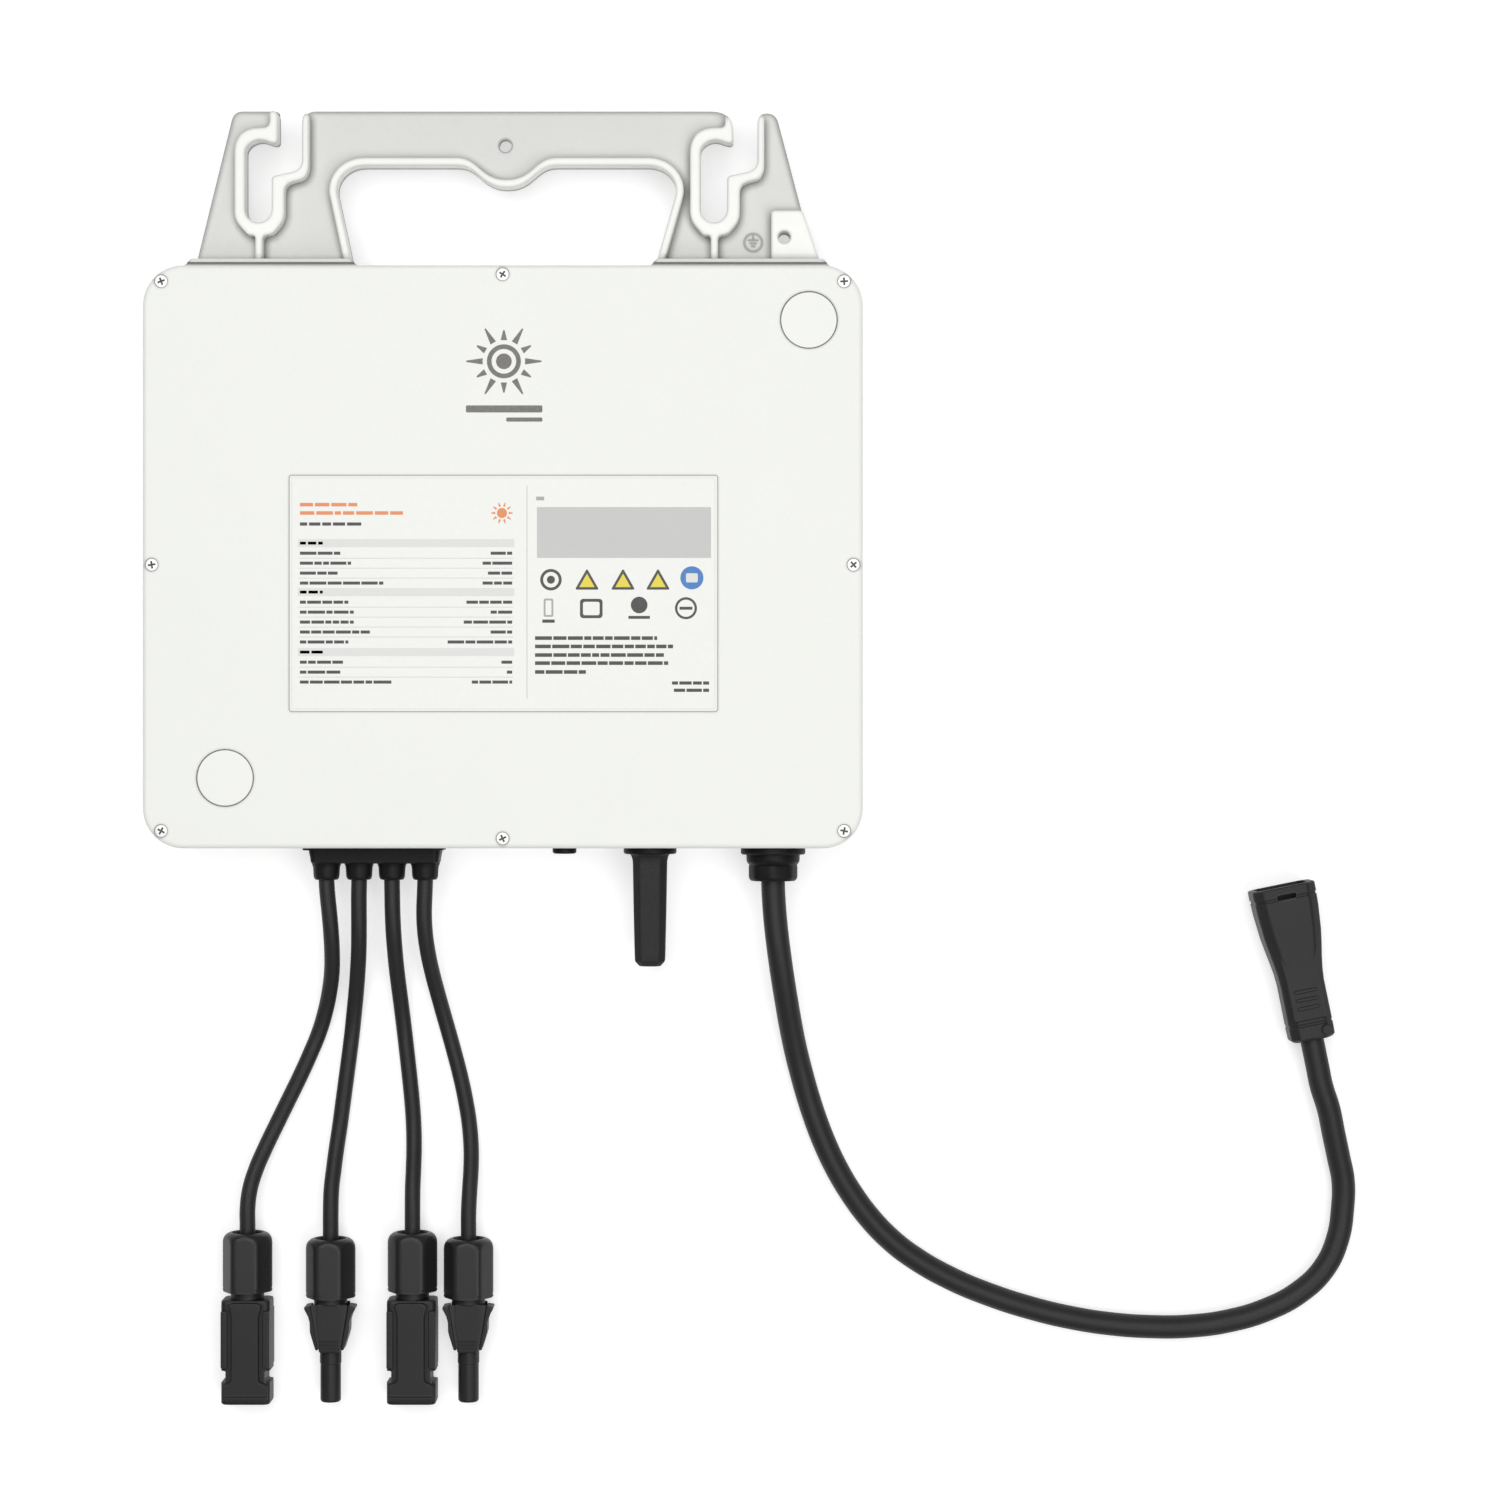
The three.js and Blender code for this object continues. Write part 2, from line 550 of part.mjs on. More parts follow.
function contactPin() {
  const root = SOCKET.end + 29.9;
  const tip = SOCKET.end + 10;
  return turned(
    [[0, root], [1.5, root], [1.5, tip + 1.2], [0.8, tip], [0, tip]], 'y', AXIS, 12,
  );
}

function plugBody() {
  const { start, end, radius, bore } = PLUG_NOSE;
  const core = polygon([
    [-5, PLUG_CORE], [-5, -32.6], [-4, -38.6], [-4, start],
    [4, start], [4, -38.6], [5, -32.6], [5, PLUG_CORE],
  ]);
  return cut(
    join(
      solid(prism(core, -5.4, 5.4)),
      solid(rod(NECK.radius, [NECK.start, PLUG_CORE - 0.6], 'y', AXIS, 12)),
      solid(rod(radius, [start + 2, end], 'y', AXIS)),
    ),
    solid(rod(bore, [end - 1, end + 19], 'y', AXIS, 12)),
  );
}

function contactSleeve() {
  const [near, far] = [PLUG_NOSE.end + 18.7, PLUG_NOSE.end + 0.5];
  return turned([[1.6, near], [2.3, near], [2.3, far], [1.6, far], [1.6, near]], 'y', AXIS, 12);
}

// A barbed arm, rooted beside the nose and free at its wide end, which faces the nut.
function latchArm(side) {
  const outline = polygon([
    [4.3, -42], [5.3, -42], [6.9, -36.9], [7.4, -35], [7.5, -31.4], [8.1, -29.2], [9.6, -26.4],
    [9.6, -25.6], [7.1, -25.2], [6.3, -29.4], [5.95, -32], [5.1, -36.6],
  ].map(([x, y]) => [side * x, y]));
  return prism(outline, -ARM_HALF_HEIGHT, ARM_HALF_HEIGHT);
}

function addConnectors() {
  for (const { number, x, top, type } of CONNECTORS) {
    const group = new THREE.Group();
    group.position.set(x, top, CONNECTOR_AXIS);
    root.add(group);
    add(`coupling_nut_${number}`, couplingNut(), blackPlastic, group);
    add(`clamp_ring_${number}`, clampRing(), blackRubber, group);
    if (type === 'socket') {
      add(`socket_body_${number}`, socketBody(), blackPlastic, group);
      add(`contact_pin_${number}`, contactPin(), tinnedCopper, group);
    } else {
      add(`plug_body_${number}`, plugBody(), blackPlastic, group);
      add(`contact_sleeve_${number}`, contactSleeve(), tinnedCopper, group);
      add(`latch_arm_${number}_left`, latchArm(-1), blackPlastic, group);
      add(`latch_arm_${number}_right`, latchArm(1), blackPlastic, group);
    }
  }
}

// ---------------------------------------------------------------- AC trunk connector
// Drawn with its axis along Y from the cable end at Y = 0 to the mouth, then turned.
function acSection(y, halfWidth, halfHeight, chamfer) {
  return [
    [halfWidth, halfHeight - chamfer], [halfWidth - chamfer, halfHeight],
    [chamfer - halfWidth, halfHeight], [-halfWidth, halfHeight - chamfer],
    [-halfWidth, chamfer - halfHeight], [chamfer - halfWidth, -halfHeight],
    [halfWidth - chamfer, -halfHeight], [halfWidth, chamfer - halfHeight],
  ].map(([x, z]) => new THREE.Vector3(x, y, z));
}

function addAcConnector() {
  const { base, height, angle, length } = AC_CONNECTOR;
  const group = new THREE.Group();
  group.position.set(...base, height);
  group.rotation.z = THREE.MathUtils.degToRad(angle);
  root.add(group);
  const shell = loft([
    acSection(0, 7.6, 7.2, 2.6), acSection(1.4, 8.5, 8.1, 3), acSection(22, 8.4, 8.2, 3),
    acSection(31, 9.4, 8.8, 3.2), acSection(41, 11, 9.6, 3.4), acSection(50, 11.8, 10, 3.4),
    acSection(length, 12, 10, 3.4),
  ]);
  const mouth = loft([
    acSection(length - AC_MOUTH.depth, AC_MOUTH.width / 2 - 1.5, AC_MOUTH.height / 2 - 1, 2),
    acSection(length - AC_MOUTH.insertDepth, AC_MOUTH.width / 2, AC_MOUTH.height / 2, 2),
    acSection(length + 1, AC_MOUTH.width / 2, AC_MOUTH.height / 2, 2),
  ]);
  const window = block([-5.5, 5.5], [length - 9, length - 6], [AC_MOUTH.height / 2 - 1, 12]);
  add('ac_connector_shell', cut(solid(shell), solid(mouth), solid(window)), blackPlastic, group);

  const [near, far] = [length - AC_MOUTH.depth + GAP, length - AC_MOUTH.insertDepth];
  let insert = solid(loft([
    acSection(near, AC_MOUTH.width / 2 - 1.5 - GAP, AC_MOUTH.height / 2 - 1 - GAP, 2),
    acSection(far, AC_MOUTH.width / 2 - GAP, AC_MOUTH.height / 2 - GAP, 2),
  ]));
  for (const [x, z] of [[-5, -2], [5, -2], [0, 3]]) {
    insert = cut(insert, solid(rod(1.6, [far - 9, far + 1], 'y', [x, 0, z], 8)));
  }
  add('ac_connector_insert', insert, blackRubber, group);
}

// ---------------------------------------------------------------- cables
function addCables() {
  CONNECTORS.forEach(({ number, x, top }, i) => {
    const free = LEAD_STATIONS.map(([y, z], k) => [LEAD_X[i][k], y, z]);
    const straight = [9, 3, NECK.start + GAP].map((distance) => [x, top + distance, CONNECTOR_AXIS]);
    add(`dc_cable_${number}`, tube([...free, ...straight], LEAD_RADIUS, 17, 10), cableJacket);
  });
  const { base, height, angle } = AC_CONNECTOR;
  const back = THREE.MathUtils.degToRad(angle);
  const straight = AC_STRAIGHT.map((distance) => [
    base[0] + distance * Math.sin(back), base[1] - distance * Math.cos(back), height,
  ]);
  add('ac_cable', tube([...AC_ROUTE, ...straight], AC_RADIUS, 30, 12), cableJacket);
}

// ---------------------------------------------------------------- electronics
// Parts standing on the circuit board, which the potting resin flows around.
const ON_BOARD = {
  transformer_1: { x: [-75, -33], y: [12, 48], height: 18.4, material: ferrite },
  transformer_2: { x: [-15, 27], y: [12, 48], height: 18.4, material: ferrite },
  relay: { x: [75, 104], y: [-30, -14], height: 15.4, material: relayBlue },
  wifi_module: { x: [42, 66], y: [-84, -66], height: 3.4, material: steel },
  output_choke: { centre: [62, 30], radius: 15, hole: 6, height: 15.4, material: ferrite },
  input_capacitor_1: { centre: [-62, -35], radius: 9, height: 18.9, material: blackPlastic },
  input_capacitor_2: { centre: [-38, -35], radius: 9, height: 18.9, material: blackPlastic },
};

function onBoard({ x, y, centre, radius, hole, height }, grow = 0) {
  const [from, to] = [BOARD.z[1] - grow, BOARD.z[1] + height + grow];
  if (!centre) return block([x[0] - grow, x[1] + grow], [y[0] - grow, y[1] + grow], [from, to]);
  if (!hole || grow) return rod(radius + grow, [from, to], 'z', [...centre, 0], 20);
  const ring = [[hole, from], [radius, from], [radius, to], [hole, to], [hole, from]];
  return turned(ring, 'z', [...centre, 0], 20);
}

function addElectronics() {
  add('main_board', block(BOARD.x, BOARD.y, BOARD.z), boardGreen);
  const grown = ([from, to]) => [from - GAP, to + GAP];
  const fill = loft([outlineRing(WALL + GAP, FLOOR + GAP), outlineRing(WALL + GAP, FLOOR + RESIN_DEPTH)]);
  let resin = cut(solid(fill), solid(block(grown(BOARD.x), grown(BOARD.y), grown(BOARD.z))));
  for (const [name, part] of Object.entries(ON_BOARD)) {
    add(name, onBoard(part), part.material);
    resin = cut(resin, solid(onBoard(part, GAP)));
  }
  for (const [x, y] of BOARD_POSTS) {
    resin = cut(resin, solid(rod(POST_RADIUS + GAP, [FLOOR, BOARD.z[0]], 'z', [x, y, 0], 12)));
  }
  add('potting_compound', resin, pottingResin);
}

addHousing();
addBracket();
addFittings();
addConnectors();
addAcConnector();
addCables();
addElectronics();

export default root;
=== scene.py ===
"""The looks of a two-channel solar micro inverter that lies on its back.

Shapes are drawn in millimetres in the CAD frame (+Z out of the front cover, +Y towards the
hanger bracket) and turned into metres when a piece is made.
"""
import math
import random

import bmesh
import bpy
from mathutils import Matrix, Vector


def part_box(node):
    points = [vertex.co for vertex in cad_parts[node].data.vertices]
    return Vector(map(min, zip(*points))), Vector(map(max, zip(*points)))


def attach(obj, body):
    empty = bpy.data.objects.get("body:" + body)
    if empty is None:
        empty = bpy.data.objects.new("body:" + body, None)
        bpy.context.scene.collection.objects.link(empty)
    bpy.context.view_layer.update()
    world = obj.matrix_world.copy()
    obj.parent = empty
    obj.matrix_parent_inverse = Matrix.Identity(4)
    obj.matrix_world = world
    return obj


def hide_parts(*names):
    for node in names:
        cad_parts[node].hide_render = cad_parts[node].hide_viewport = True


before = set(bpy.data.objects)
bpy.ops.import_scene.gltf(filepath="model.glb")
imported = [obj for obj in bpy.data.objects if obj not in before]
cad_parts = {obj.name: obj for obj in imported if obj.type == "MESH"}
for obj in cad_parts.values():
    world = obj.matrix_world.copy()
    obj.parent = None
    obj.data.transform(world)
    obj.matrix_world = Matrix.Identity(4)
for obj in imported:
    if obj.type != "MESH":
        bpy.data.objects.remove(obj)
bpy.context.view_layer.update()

MM = 0.001


def box_mm(node):
    low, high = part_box(node)
    return low / MM, high / MM


def middle(node):
    low, high = box_mm(node)
    return (low + high) / 2


COVER_LOW, COVER_HIGH = box_mm("front_cover")
FRONT = COVER_HIGH.z
BOTTOM = COVER_LOW.y
CORNER = 15
GLAND_AXIS = 19
COVER_SCREWS = range(1, 9)
BRACKET_SCREWS = range(1, 5)
NUMBERS = (1, 2, 3, 4)  # of the solar leads, from left to right
KIND = {1: "socket", 2: "plug", 3: "socket", 4: "plug"}


# ---------------------------------------------------------------- flat outlines
def arc(centre, radius, start, end, steps=8):
    """Points on an arc, with its angles in degrees."""
    angles = [math.radians(start + (end - start) * i / steps) for i in range(steps + 1)]
    return [(centre[0] + radius * math.cos(a), centre[1] + radius * math.sin(a)) for a in angles]


def circle(centre, radius, steps=32):
    return arc(centre, radius, 0, 360, steps)[:-1]


def bezier(points, steps=8):
    """A curve from the first point to the last, without the first. Those between pull it."""
    line = []
    for i in range(1, steps + 1):
        t = i / steps
        level = [Vector(p) for p in points]
        while len(level) > 1:
            level = [a.lerp(b, t) for a, b in zip(level, level[1:])]
        line.append(tuple(level[0]))
    return line


def rounded(points, radius, steps=4):
    """A closed outline with its corners rounded. Every corner gives the same count of points."""
    outline = []
    for i, corner in enumerate(points):
        here = Vector(corner)
        before, after = Vector(points[i - 1]), Vector(points[(i + 1) % len(points)])
        reach = min(radius, (before - here).length * 0.49, (after - here).length * 0.49)
        start = here + (before - here).normalized() * reach
        end = here + (after - here).normalized() * reach
        outline += [tuple(start)] + bezier([start, here, end], steps)
    return outline


def rectangle(x0, x1, y0, y1, radius=0.0, steps=8):
    if not radius:
        return [(x0, y0), (x1, y0), (x1, y1), (x0, y1)]
    return [
        point
        for centre, start in (
            ((x1 - radius, y0 + radius), -90), ((x1 - radius, y1 - radius), 0),
            ((x0 + radius, y1 - radius), 90), ((x0 + radius, y0 + radius), 180),
        )
        for point in arc(centre, radius, start, start + 90, steps)
    ]


def chamfered(half, height, chamfer):
    """A box's section with chamfered corners, counterclockwise."""
    return [
        (half, height - chamfer), (half - chamfer, height), (chamfer - half, height),
        (-half, height - chamfer), (-half, chamfer - height), (chamfer - half, -height),
        (half - chamfer, -height), (half, chamfer - height),
    ]


def area(points):
    return sum(a[0] * b[1] - b[0] * a[1] for a, b in zip(points, points[1:] + points[:1])) / 2


def inset(points, distance):
    """The outline moved to its left by a distance, with mitred corners."""
    moved = []
    for i, point in enumerate(points):
        here = Vector(point)
        back = (here - Vector(points[i - 1])).normalized()
        ahead = (Vector(points[(i + 1) % len(points)]) - here).normalized()
        left = [Vector((-d.y, d.x)) for d in (back, ahead)]
        moved.append(here + (left[0] + left[1]) / max(1 + left[0].dot(left[1]), 0.4) * distance)
    return [tuple(p) for p in moved]


def round_edge(low, high, radius, steps=4, foot=0.0):
    """A profile of (inset, height) pairs: a plate's side with a rounded top edge."""
    turns = [math.radians(90 * i / steps) for i in range(steps + 1)]
    top = [(radius * (1 - math.cos(a)), high - radius * (1 - math.sin(a))) for a in turns]
    return ([(foot, low), (0, low + foot)] if foot else [(0, low)]) + top


def round_both(low, high, radius, steps=4):
    """A profile of (inset, height) pairs: a plate's side with both edges rounded."""
    top = round_edge(0, high, radius, steps)[1:]
    return [(i, low + high - h) for i, h in reversed(top)] + top


# ---------------------------------------------------------------- solid shapes
def slab(outer, profile, holes=(), plane="xy", at=(0, 0, 0)):
    """A plate in a plane, with holes. Its edges follow (inset, height) pairs, low to high."""
    shape = bmesh.new()
    place = {"xy": lambda u, v, h: (u, v, h), "xz": lambda u, v, h: (u, h, v)}[plane]
    loops = [outer if area(outer) > 0 else outer[::-1]]
    loops += [hole if area(hole) < 0 else hole[::-1] for hole in holes]
    caps = [[], []]
    for loop in loops:
        rings = [
            [shape.verts.new(Vector(place(u, v, height)) + Vector(at)) for u, v in inset(loop, inward)]
            for inward, height in profile
        ]
        skin(shape, rings)
        for cap, ring in zip(caps, (rings[0], rings[-1])):
            cap += [shape.edges.get((a, b)) for a, b in zip(ring, ring[1:] + ring[:1])]
    for cap in caps:
        bmesh.ops.triangle_fill(shape, edges=cap, use_beauty=True)
    return outward(shape)


def skin(shape, rings):
    for lower, upper in zip(rings, rings[1:]):
        for i in range(len(lower)):
            j = (i + 1) % len(lower)
            shape.faces.new((lower[i], lower[j], upper[j], upper[i]))


def outward(shape):
    bmesh.ops.remove_doubles(shape, verts=shape.verts, dist=1e-5)
    bmesh.ops.recalc_face_normals(shape, faces=shape.faces)
    return shape


def loft(rings):
    """A closed skin over rings of points, flat at both ends."""
    shape = bmesh.new()
    rings = [[shape.verts.new(point) for point in ring] for ring in rings]
    skin(shape, rings)
    shape.faces.new(rings[0])
    shape.faces.new(rings[-1])
    return outward(shape)


def lathe(profile, at, axis="y", segments=32, section=None):
    """(radius, distance) pairs turned about a line along Y or Z. A section shapes each ring."""
    section = section or (lambda angle, radius, distance: radius)
    shape = bmesh.new()
    place = {"y": lambda u, v, h: (u, h, v), "z": lambda u, v, h: (u, v, h)}[axis]
    rings = []
    for radius, distance in profile:
        ring = []
        for i in range(segments):
            angle = 2 * math.pi * i / segments
            reach = section(angle, radius, distance) if radius else 0
            ring.append(place(reach * math.cos(angle), reach * math.sin(angle), distance))
        rings.append([shape.verts.new(Vector(point) + Vector(at)) for point in ring])
    if profile[0] == profile[-1]:
        for vert in rings.pop():
            shape.verts.remove(vert)
        rings.append(rings[0])
    skin(shape, rings)
    return outward(shape)


def many_sided(sides, softness, turn=0.0):
    """The radius of a round-cornered polygon, as a share of its corners', at an angle."""
    normals = [turn + 2 * math.pi * i / sides for i in range(sides)]

    def reach(angle):
        total = sum(max(0, math.cos(angle - n)) ** softness for n in normals)
        return total ** (-1 / softness)

    corner = reach(turn + math.pi / sides)
    return lambda angle: reach(angle) / corner


def combined(base, joined=(), cut=()):
    """One solid: base with some joined to it, then some cut away."""
    steps = [("UNION", joined), ("DIFFERENCE", cut)]
    whole = solid_object(base)
    tools = []
    for operation, shapes in steps:
        for shape in shapes:
            modifier = whole.modifiers.new("work", "BOOLEAN")
            modifier.operation = operation
            modifier.solver = "EXACT"
            modifier.object = solid_object(shape)
            tools.append(modifier.object)
    bpy.context.view_layer.update()
    done = whole.evaluated_get(bpy.context.evaluated_depsgraph_get())
    result = bmesh.new()
    result.from_mesh(done.to_mesh())
    done.to_mesh_clear()
    for obj in (whole, *tools):
        mesh = obj.data
        bpy.data.objects.remove(obj)
        bpy.data.meshes.remove(mesh)
    bmesh.ops.remove_doubles(result, verts=result.verts, dist=1e-4)
    bmesh.ops.dissolve_degenerate(result, edges=result.edges, dist=1e-4)
    return result


def solid_object(shape):
    mesh = bpy.data.meshes.new("work")
    shape.to_mesh(mesh)
    shape.free()
    obj = bpy.data.objects.new("work", mesh)
    bpy.context.scene.collection.objects.link(obj)
    return obj


def piece(name, shape, finish, body="root", stands_for=(), sharp=34, place=None):
    """Makes a visible piece that rides on a body. finish is a key of FINISHES, or a list."""
    finishes = [finish] if isinstance(finish, str) else finish
    mesh = bpy.data.meshes.new(name)
    shape.to_mesh(mesh)
    shape.free()
    mesh.transform(Matrix.Scale(MM, 4) @ (place or Matrix.Identity(4)))
    for key in finishes:
        mesh.materials.append(FINISHES[key])
    mesh.shade_smooth()
    mesh.set_sharp_from_angle(angle=math.radians(sharp))
    obj = bpy.data.objects.new(name, mesh)
    bpy.context.scene.collection.objects.link(obj)
    normals = obj.modifiers.new("normals", "WEIGHTED_NORMAL")
    normals.keep_sharp = True
    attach(obj, body)
    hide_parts(*stands_for)
    return obj


# ---------------------------------------------------------------- materials
PATCHES_PER_METRE = 35


def link(tree, source, target):
    tree.links.new(source, target)


def noise(tree, scale, detail=3.0):
    """Noise over the object's own space, with a scale in features per metre."""
    coordinates = tree.nodes.new("ShaderNodeTexCoord")
    pattern = tree.nodes.new("ShaderNodeTexNoise")
    pattern.inputs["Scale"].default_value = scale
    pattern.inputs["Detail"].default_value = detail
    link(tree, coordinates.outputs["Object"], pattern.inputs["Vector"])
    return pattern.outputs["Fac"]


def spread(tree, value, low, high):
    """A noise value taken from its usual range to low..high."""
    node = tree.nodes.new("ShaderNodeMapRange")
    node.inputs["From Min"].default_value = 0.3
    node.inputs["From Max"].default_value = 0.7
    node.inputs["To Min"].default_value = low
    node.inputs["To Max"].default_value = high
    link(tree, value, node.inputs["Value"])
    return node.outputs["Result"]


def blend_colours(tree, value, first, second):
    node = tree.nodes.new("ShaderNodeMix")
    node.data_type = "RGBA"
    sockets = [s for s in node.inputs if s.type == "RGBA"]
    for socket, colour in zip(sockets, (first, second)):
        if isinstance(colour, tuple):
            socket.default_value = (*colour, 1)
        else:
            link(tree, colour, socket)
    link(tree, value, node.inputs["Factor"])
    return next(s for s in node.outputs if s.type == "RGBA")


def surface(name, colour, rough, grain, mottle, metal=0.0, gloss=0.5):
    """A procedural finish. rough is (least, most); grain is (features per metre, depth in mm)."""
    material = bpy.data.materials.new(name)
    material.use_nodes = True
    tree = material.node_tree
    shader = tree.nodes["Principled BSDF"]
    shader.inputs["Metallic"].default_value = metal
    shader.inputs["Specular IOR Level"].default_value = gloss
    patches = spread(tree, noise(tree, PATCHES_PER_METRE), 0, 1)
    darker = tuple(c * (1 - mottle) for c in colour)
    tone = blend_colours(tree, patches, darker, colour)
    specks = spread(tree, noise(tree, grain[0] * 1.7, 2), 0, 1)
    speckled = blend_colours(tree, specks, tuple(c * (1 - mottle / 2) for c in colour), tone)
    link(tree, speckled, shader.inputs["Base Color"])
    fine = noise(tree, grain[0])
    link(tree, spread(tree, fine, *rough), shader.inputs["Roughness"])
    bump = tree.nodes.new("ShaderNodeBump")
    bump.inputs["Strength"].default_value = 1.0
    bump.inputs["Distance"].default_value = grain[1] * MM
    link(tree, fine, bump.inputs["Height"])
    link(tree, bump.outputs["Normal"], shader.inputs["Normal"])
    return material


def darken(material, shade):
    """Multiplies a material's colour by a socket's value."""
    tree = material.node_tree
    shader = tree.nodes["Principled BSDF"]
    mixed = tree.nodes.new("ShaderNodeMix")
    mixed.data_type = "RGBA"
    mixed.blend_type = "MULTIPLY"
    mixed.inputs["Factor"].default_value = 1.0
    first, second = [s for s in mixed.inputs if s.type == "RGBA"]
    link(tree, shader.inputs["Base Color"].links[0].from_socket, first)
    link(tree, shade, second)
    link(tree, next(s for s in mixed.outputs if s.type == "RGBA"), shader.inputs["Base Color"])


def paint_shade_along(axis, material, shade_steps):
    """Paints shade into a casting along an axis, from (place in mm, tone) pairs; a tone below 1 is painted
    shade.
    """
    tree = material.node_tree
    coordinates = tree.nodes.new("ShaderNodeTexCoord")
    parts = tree.nodes.new("ShaderNodeSeparateXYZ")
    link(tree, coordinates.outputs["Object"], parts.inputs["Vector"])
    for (low, first), (high, second) in zip(shade_steps, shade_steps[1:]):
        step = tree.nodes.new("ShaderNodeMapRange")
        step.inputs["From Min"].default_value = low * MM
        step.inputs["From Max"].default_value = high * MM
        step.inputs["To Min"].default_value = first / second
        link(tree, parts.outputs[axis], step.inputs["Value"])
        darken(material, step.outputs["Result"])
    return material


def paint_shade_and_highlight_at_edges(material, hollow, ridge):
    """Paints shade into inner corners and onto outer edges, and a highlight along edges where depth is
    negative. Both are (reach in mm, depth).
    """
    tree = material.node_tree
    for inside, (reach, depth) in ((False, hollow), (True, ridge)):
        near = tree.nodes.new("ShaderNodeAmbientOcclusion")
        near.inside = inside
        near.samples = 12
        near.inputs["Distance"].default_value = reach * MM
        soft = tree.nodes.new("ShaderNodeMapRange")
        soft.inputs["From Min"].default_value = 0.45 if inside else 0.35
        soft.inputs["To Min"].default_value = 1 - depth
        link(tree, near.outputs["AO"], soft.inputs["Value"])
        darken(material, soft.outputs["Result"])
    return material


def grey(level):
    return (level, level, level)


# colour, roughness, grain, mottle and share of metal, as surface() takes them
STEEL = ((0.74, 0.74, 0.73), (0.35, 0.5), (1500, 0.01), 0.12, 0.3)
INKS = {  # name: colour and mottle
    "ink_dark": (grey(0.03), 0.2),
    "ink_grey": ((0.36, 0.36, 0.35), 0.1),
    "ink_pale": ((0.5, 0.5, 0.495), 0.04),
    "ink_faint": ((0.66, 0.665, 0.645), 0.04),
    "ink_orange": ((0.72, 0.24, 0.07), 0.08),
    "ink_yellow": ((0.72, 0.6, 0.03), 0.06),
    "ink_blue": ((0.03, 0.17, 0.5), 0.08),
}
FINISHES = {
    # the cover: painted shade in inner corners and on its rounded edges
    "cover": paint_shade_and_highlight_at_edges(
        surface("powder_coat_white", (0.785, 0.795, 0.757), (0.42, 0.55), (900, 0.02), 0.02, gloss=0.4),
        (2, 0.4), (1, 0.3),
    ),
    # the housing: the cover's white paint made darker, painted shade on its sides
    "housing": surface("powder_coat_shaded_sides", (0.74, 0.75, 0.72), (0.42, 0.56), (900, 0.02), 0.03, gloss=0.4),
    # the bracket: painted shade darkest at the web's rounded rim, the web darker than the ribs, painted shade
    # in corners and on edges; its white is lighter than the cover's, painted light on the rib tops
    "bracket": paint_shade_and_highlight_at_edges(paint_shade_along(
        "Z", surface("powder_coat_bracket", (0.85, 0.855, 0.825), (0.4, 0.55), (700, 0.03), 0.04, gloss=0.4),
        [(15.8, 0.25), (17.45, 0.74), (17.6, 0.74), (19.5, 1)],
    ), (3, 0.6), (1.1, 0.45)),
    "plug": surface("powder_coat_plug", (0.79, 0.8, 0.765), (0.4, 0.5), (900, 0.015), 0.02, gloss=0.4),
    # screw heads: painted shade in the cross recesses and lower down the head
    "screw": paint_shade_along("Z", surface("screw_head", *STEEL), [(FRONT - 1.3, 0.1), (FRONT - 0.6, 1)]),
    "steel": surface("screw_steel", *STEEL),
    # black mouldings: painted shade towards the floor and in inner corners, painted highlights along outer
    # edges
    "moulding": paint_shade_and_highlight_at_edges(paint_shade_along(
        "Z", surface("black_moulding", grey(0.018), (0.38, 0.55), (2500, 0.012), 0.2, gloss=0.22),
        [(2, 0.35), (11, 1)],
    ), (2.5, 0.85), (0.6, -1.2)),
    # nuts: the same painted shade towards the floor and in corners, and painted highlights along edges
    "satin": paint_shade_and_highlight_at_edges(paint_shade_along(
        "Z", surface("black_nut", grey(0.016), (0.28, 0.42), (2000, 0.01), 0.2, gloss=0.25),
        [(2, 0.4), (11, 1)],
    ), (2.5, 0.9), (0.6, -1.5)),
    # glands: painted shade in inner corners, painted highlights along outer edges
    "gland": paint_shade_and_highlight_at_edges(
        surface("black_gland", grey(0.008), (0.38, 0.55), (2500, 0.012), 0.2, gloss=0.15),
        (2.5, 0.85), (0.6, -1.5),
    ),
    # rubber: painted shade in inner corners, painted highlights along outer edges
    "rubber": paint_shade_and_highlight_at_edges(
        surface("black_rubber", grey(0.0165), (0.5, 0.7), (1800, 0.02), 0.25, gloss=0.25),
        (2.5, 0.9), (0.7, -1.5),
    ),
    "jacket": surface("cable_jacket", grey(0.018), (0.42, 0.56), (1400, 0.012), 0.2, gloss=0.26),
    "film": surface("label_film", (0.755, 0.763, 0.73), (0.3, 0.4), (500, 0.004), 0.015, gloss=0.45),
    **{
        name: surface(name, colour, (0.4, 0.5), (1500, 0.003), mottle)
        for name, (colour, mottle) in INKS.items()
    },
    "ink_silver": surface("ink_silver", (0.108, 0.105, 0.1), (0.3, 0.45), (1200, 0.003), 0.3, metal=0.2),
    "tin": surface("tinned_copper", (0.75, 0.72, 0.66), (0.2, 0.35), (3000, 0.004), 0.1, metal=1.0),
    "board": surface("solder_mask", (0.02, 0.14, 0.06), (0.25, 0.4), (600, 0.01), 0.2),
    "ferrite": surface("ferrite", (0.04, 0.038, 0.035), (0.55, 0.75), (2500, 0.02), 0.3),
    "resin": surface("potting_resin", (0.05, 0.055, 0.06), (0.15, 0.35), (120, 0.1), 0.2),
    "relay": surface("relay_case", (0.02, 0.05, 0.2), (0.3, 0.4), (1200, 0.005), 0.1),
}


# ---------------------------------------------------------------- camera
CAMERA_HEIGHT = 1.3


def add_camera():
    """Straight above the middle of the object and its cables."""
    camera = bpy.data.objects.new("camera", bpy.data.cameras.new("camera"))
    camera.location = (0.092, -0.0719, CAMERA_HEIGHT)
    camera.data.sensor_width = 36
    camera.data.lens = 81.47
    camera.data.clip_end = 20
    bpy.context.scene.collection.objects.link(camera)
    bpy.context.scene.camera = camera


add_camera()

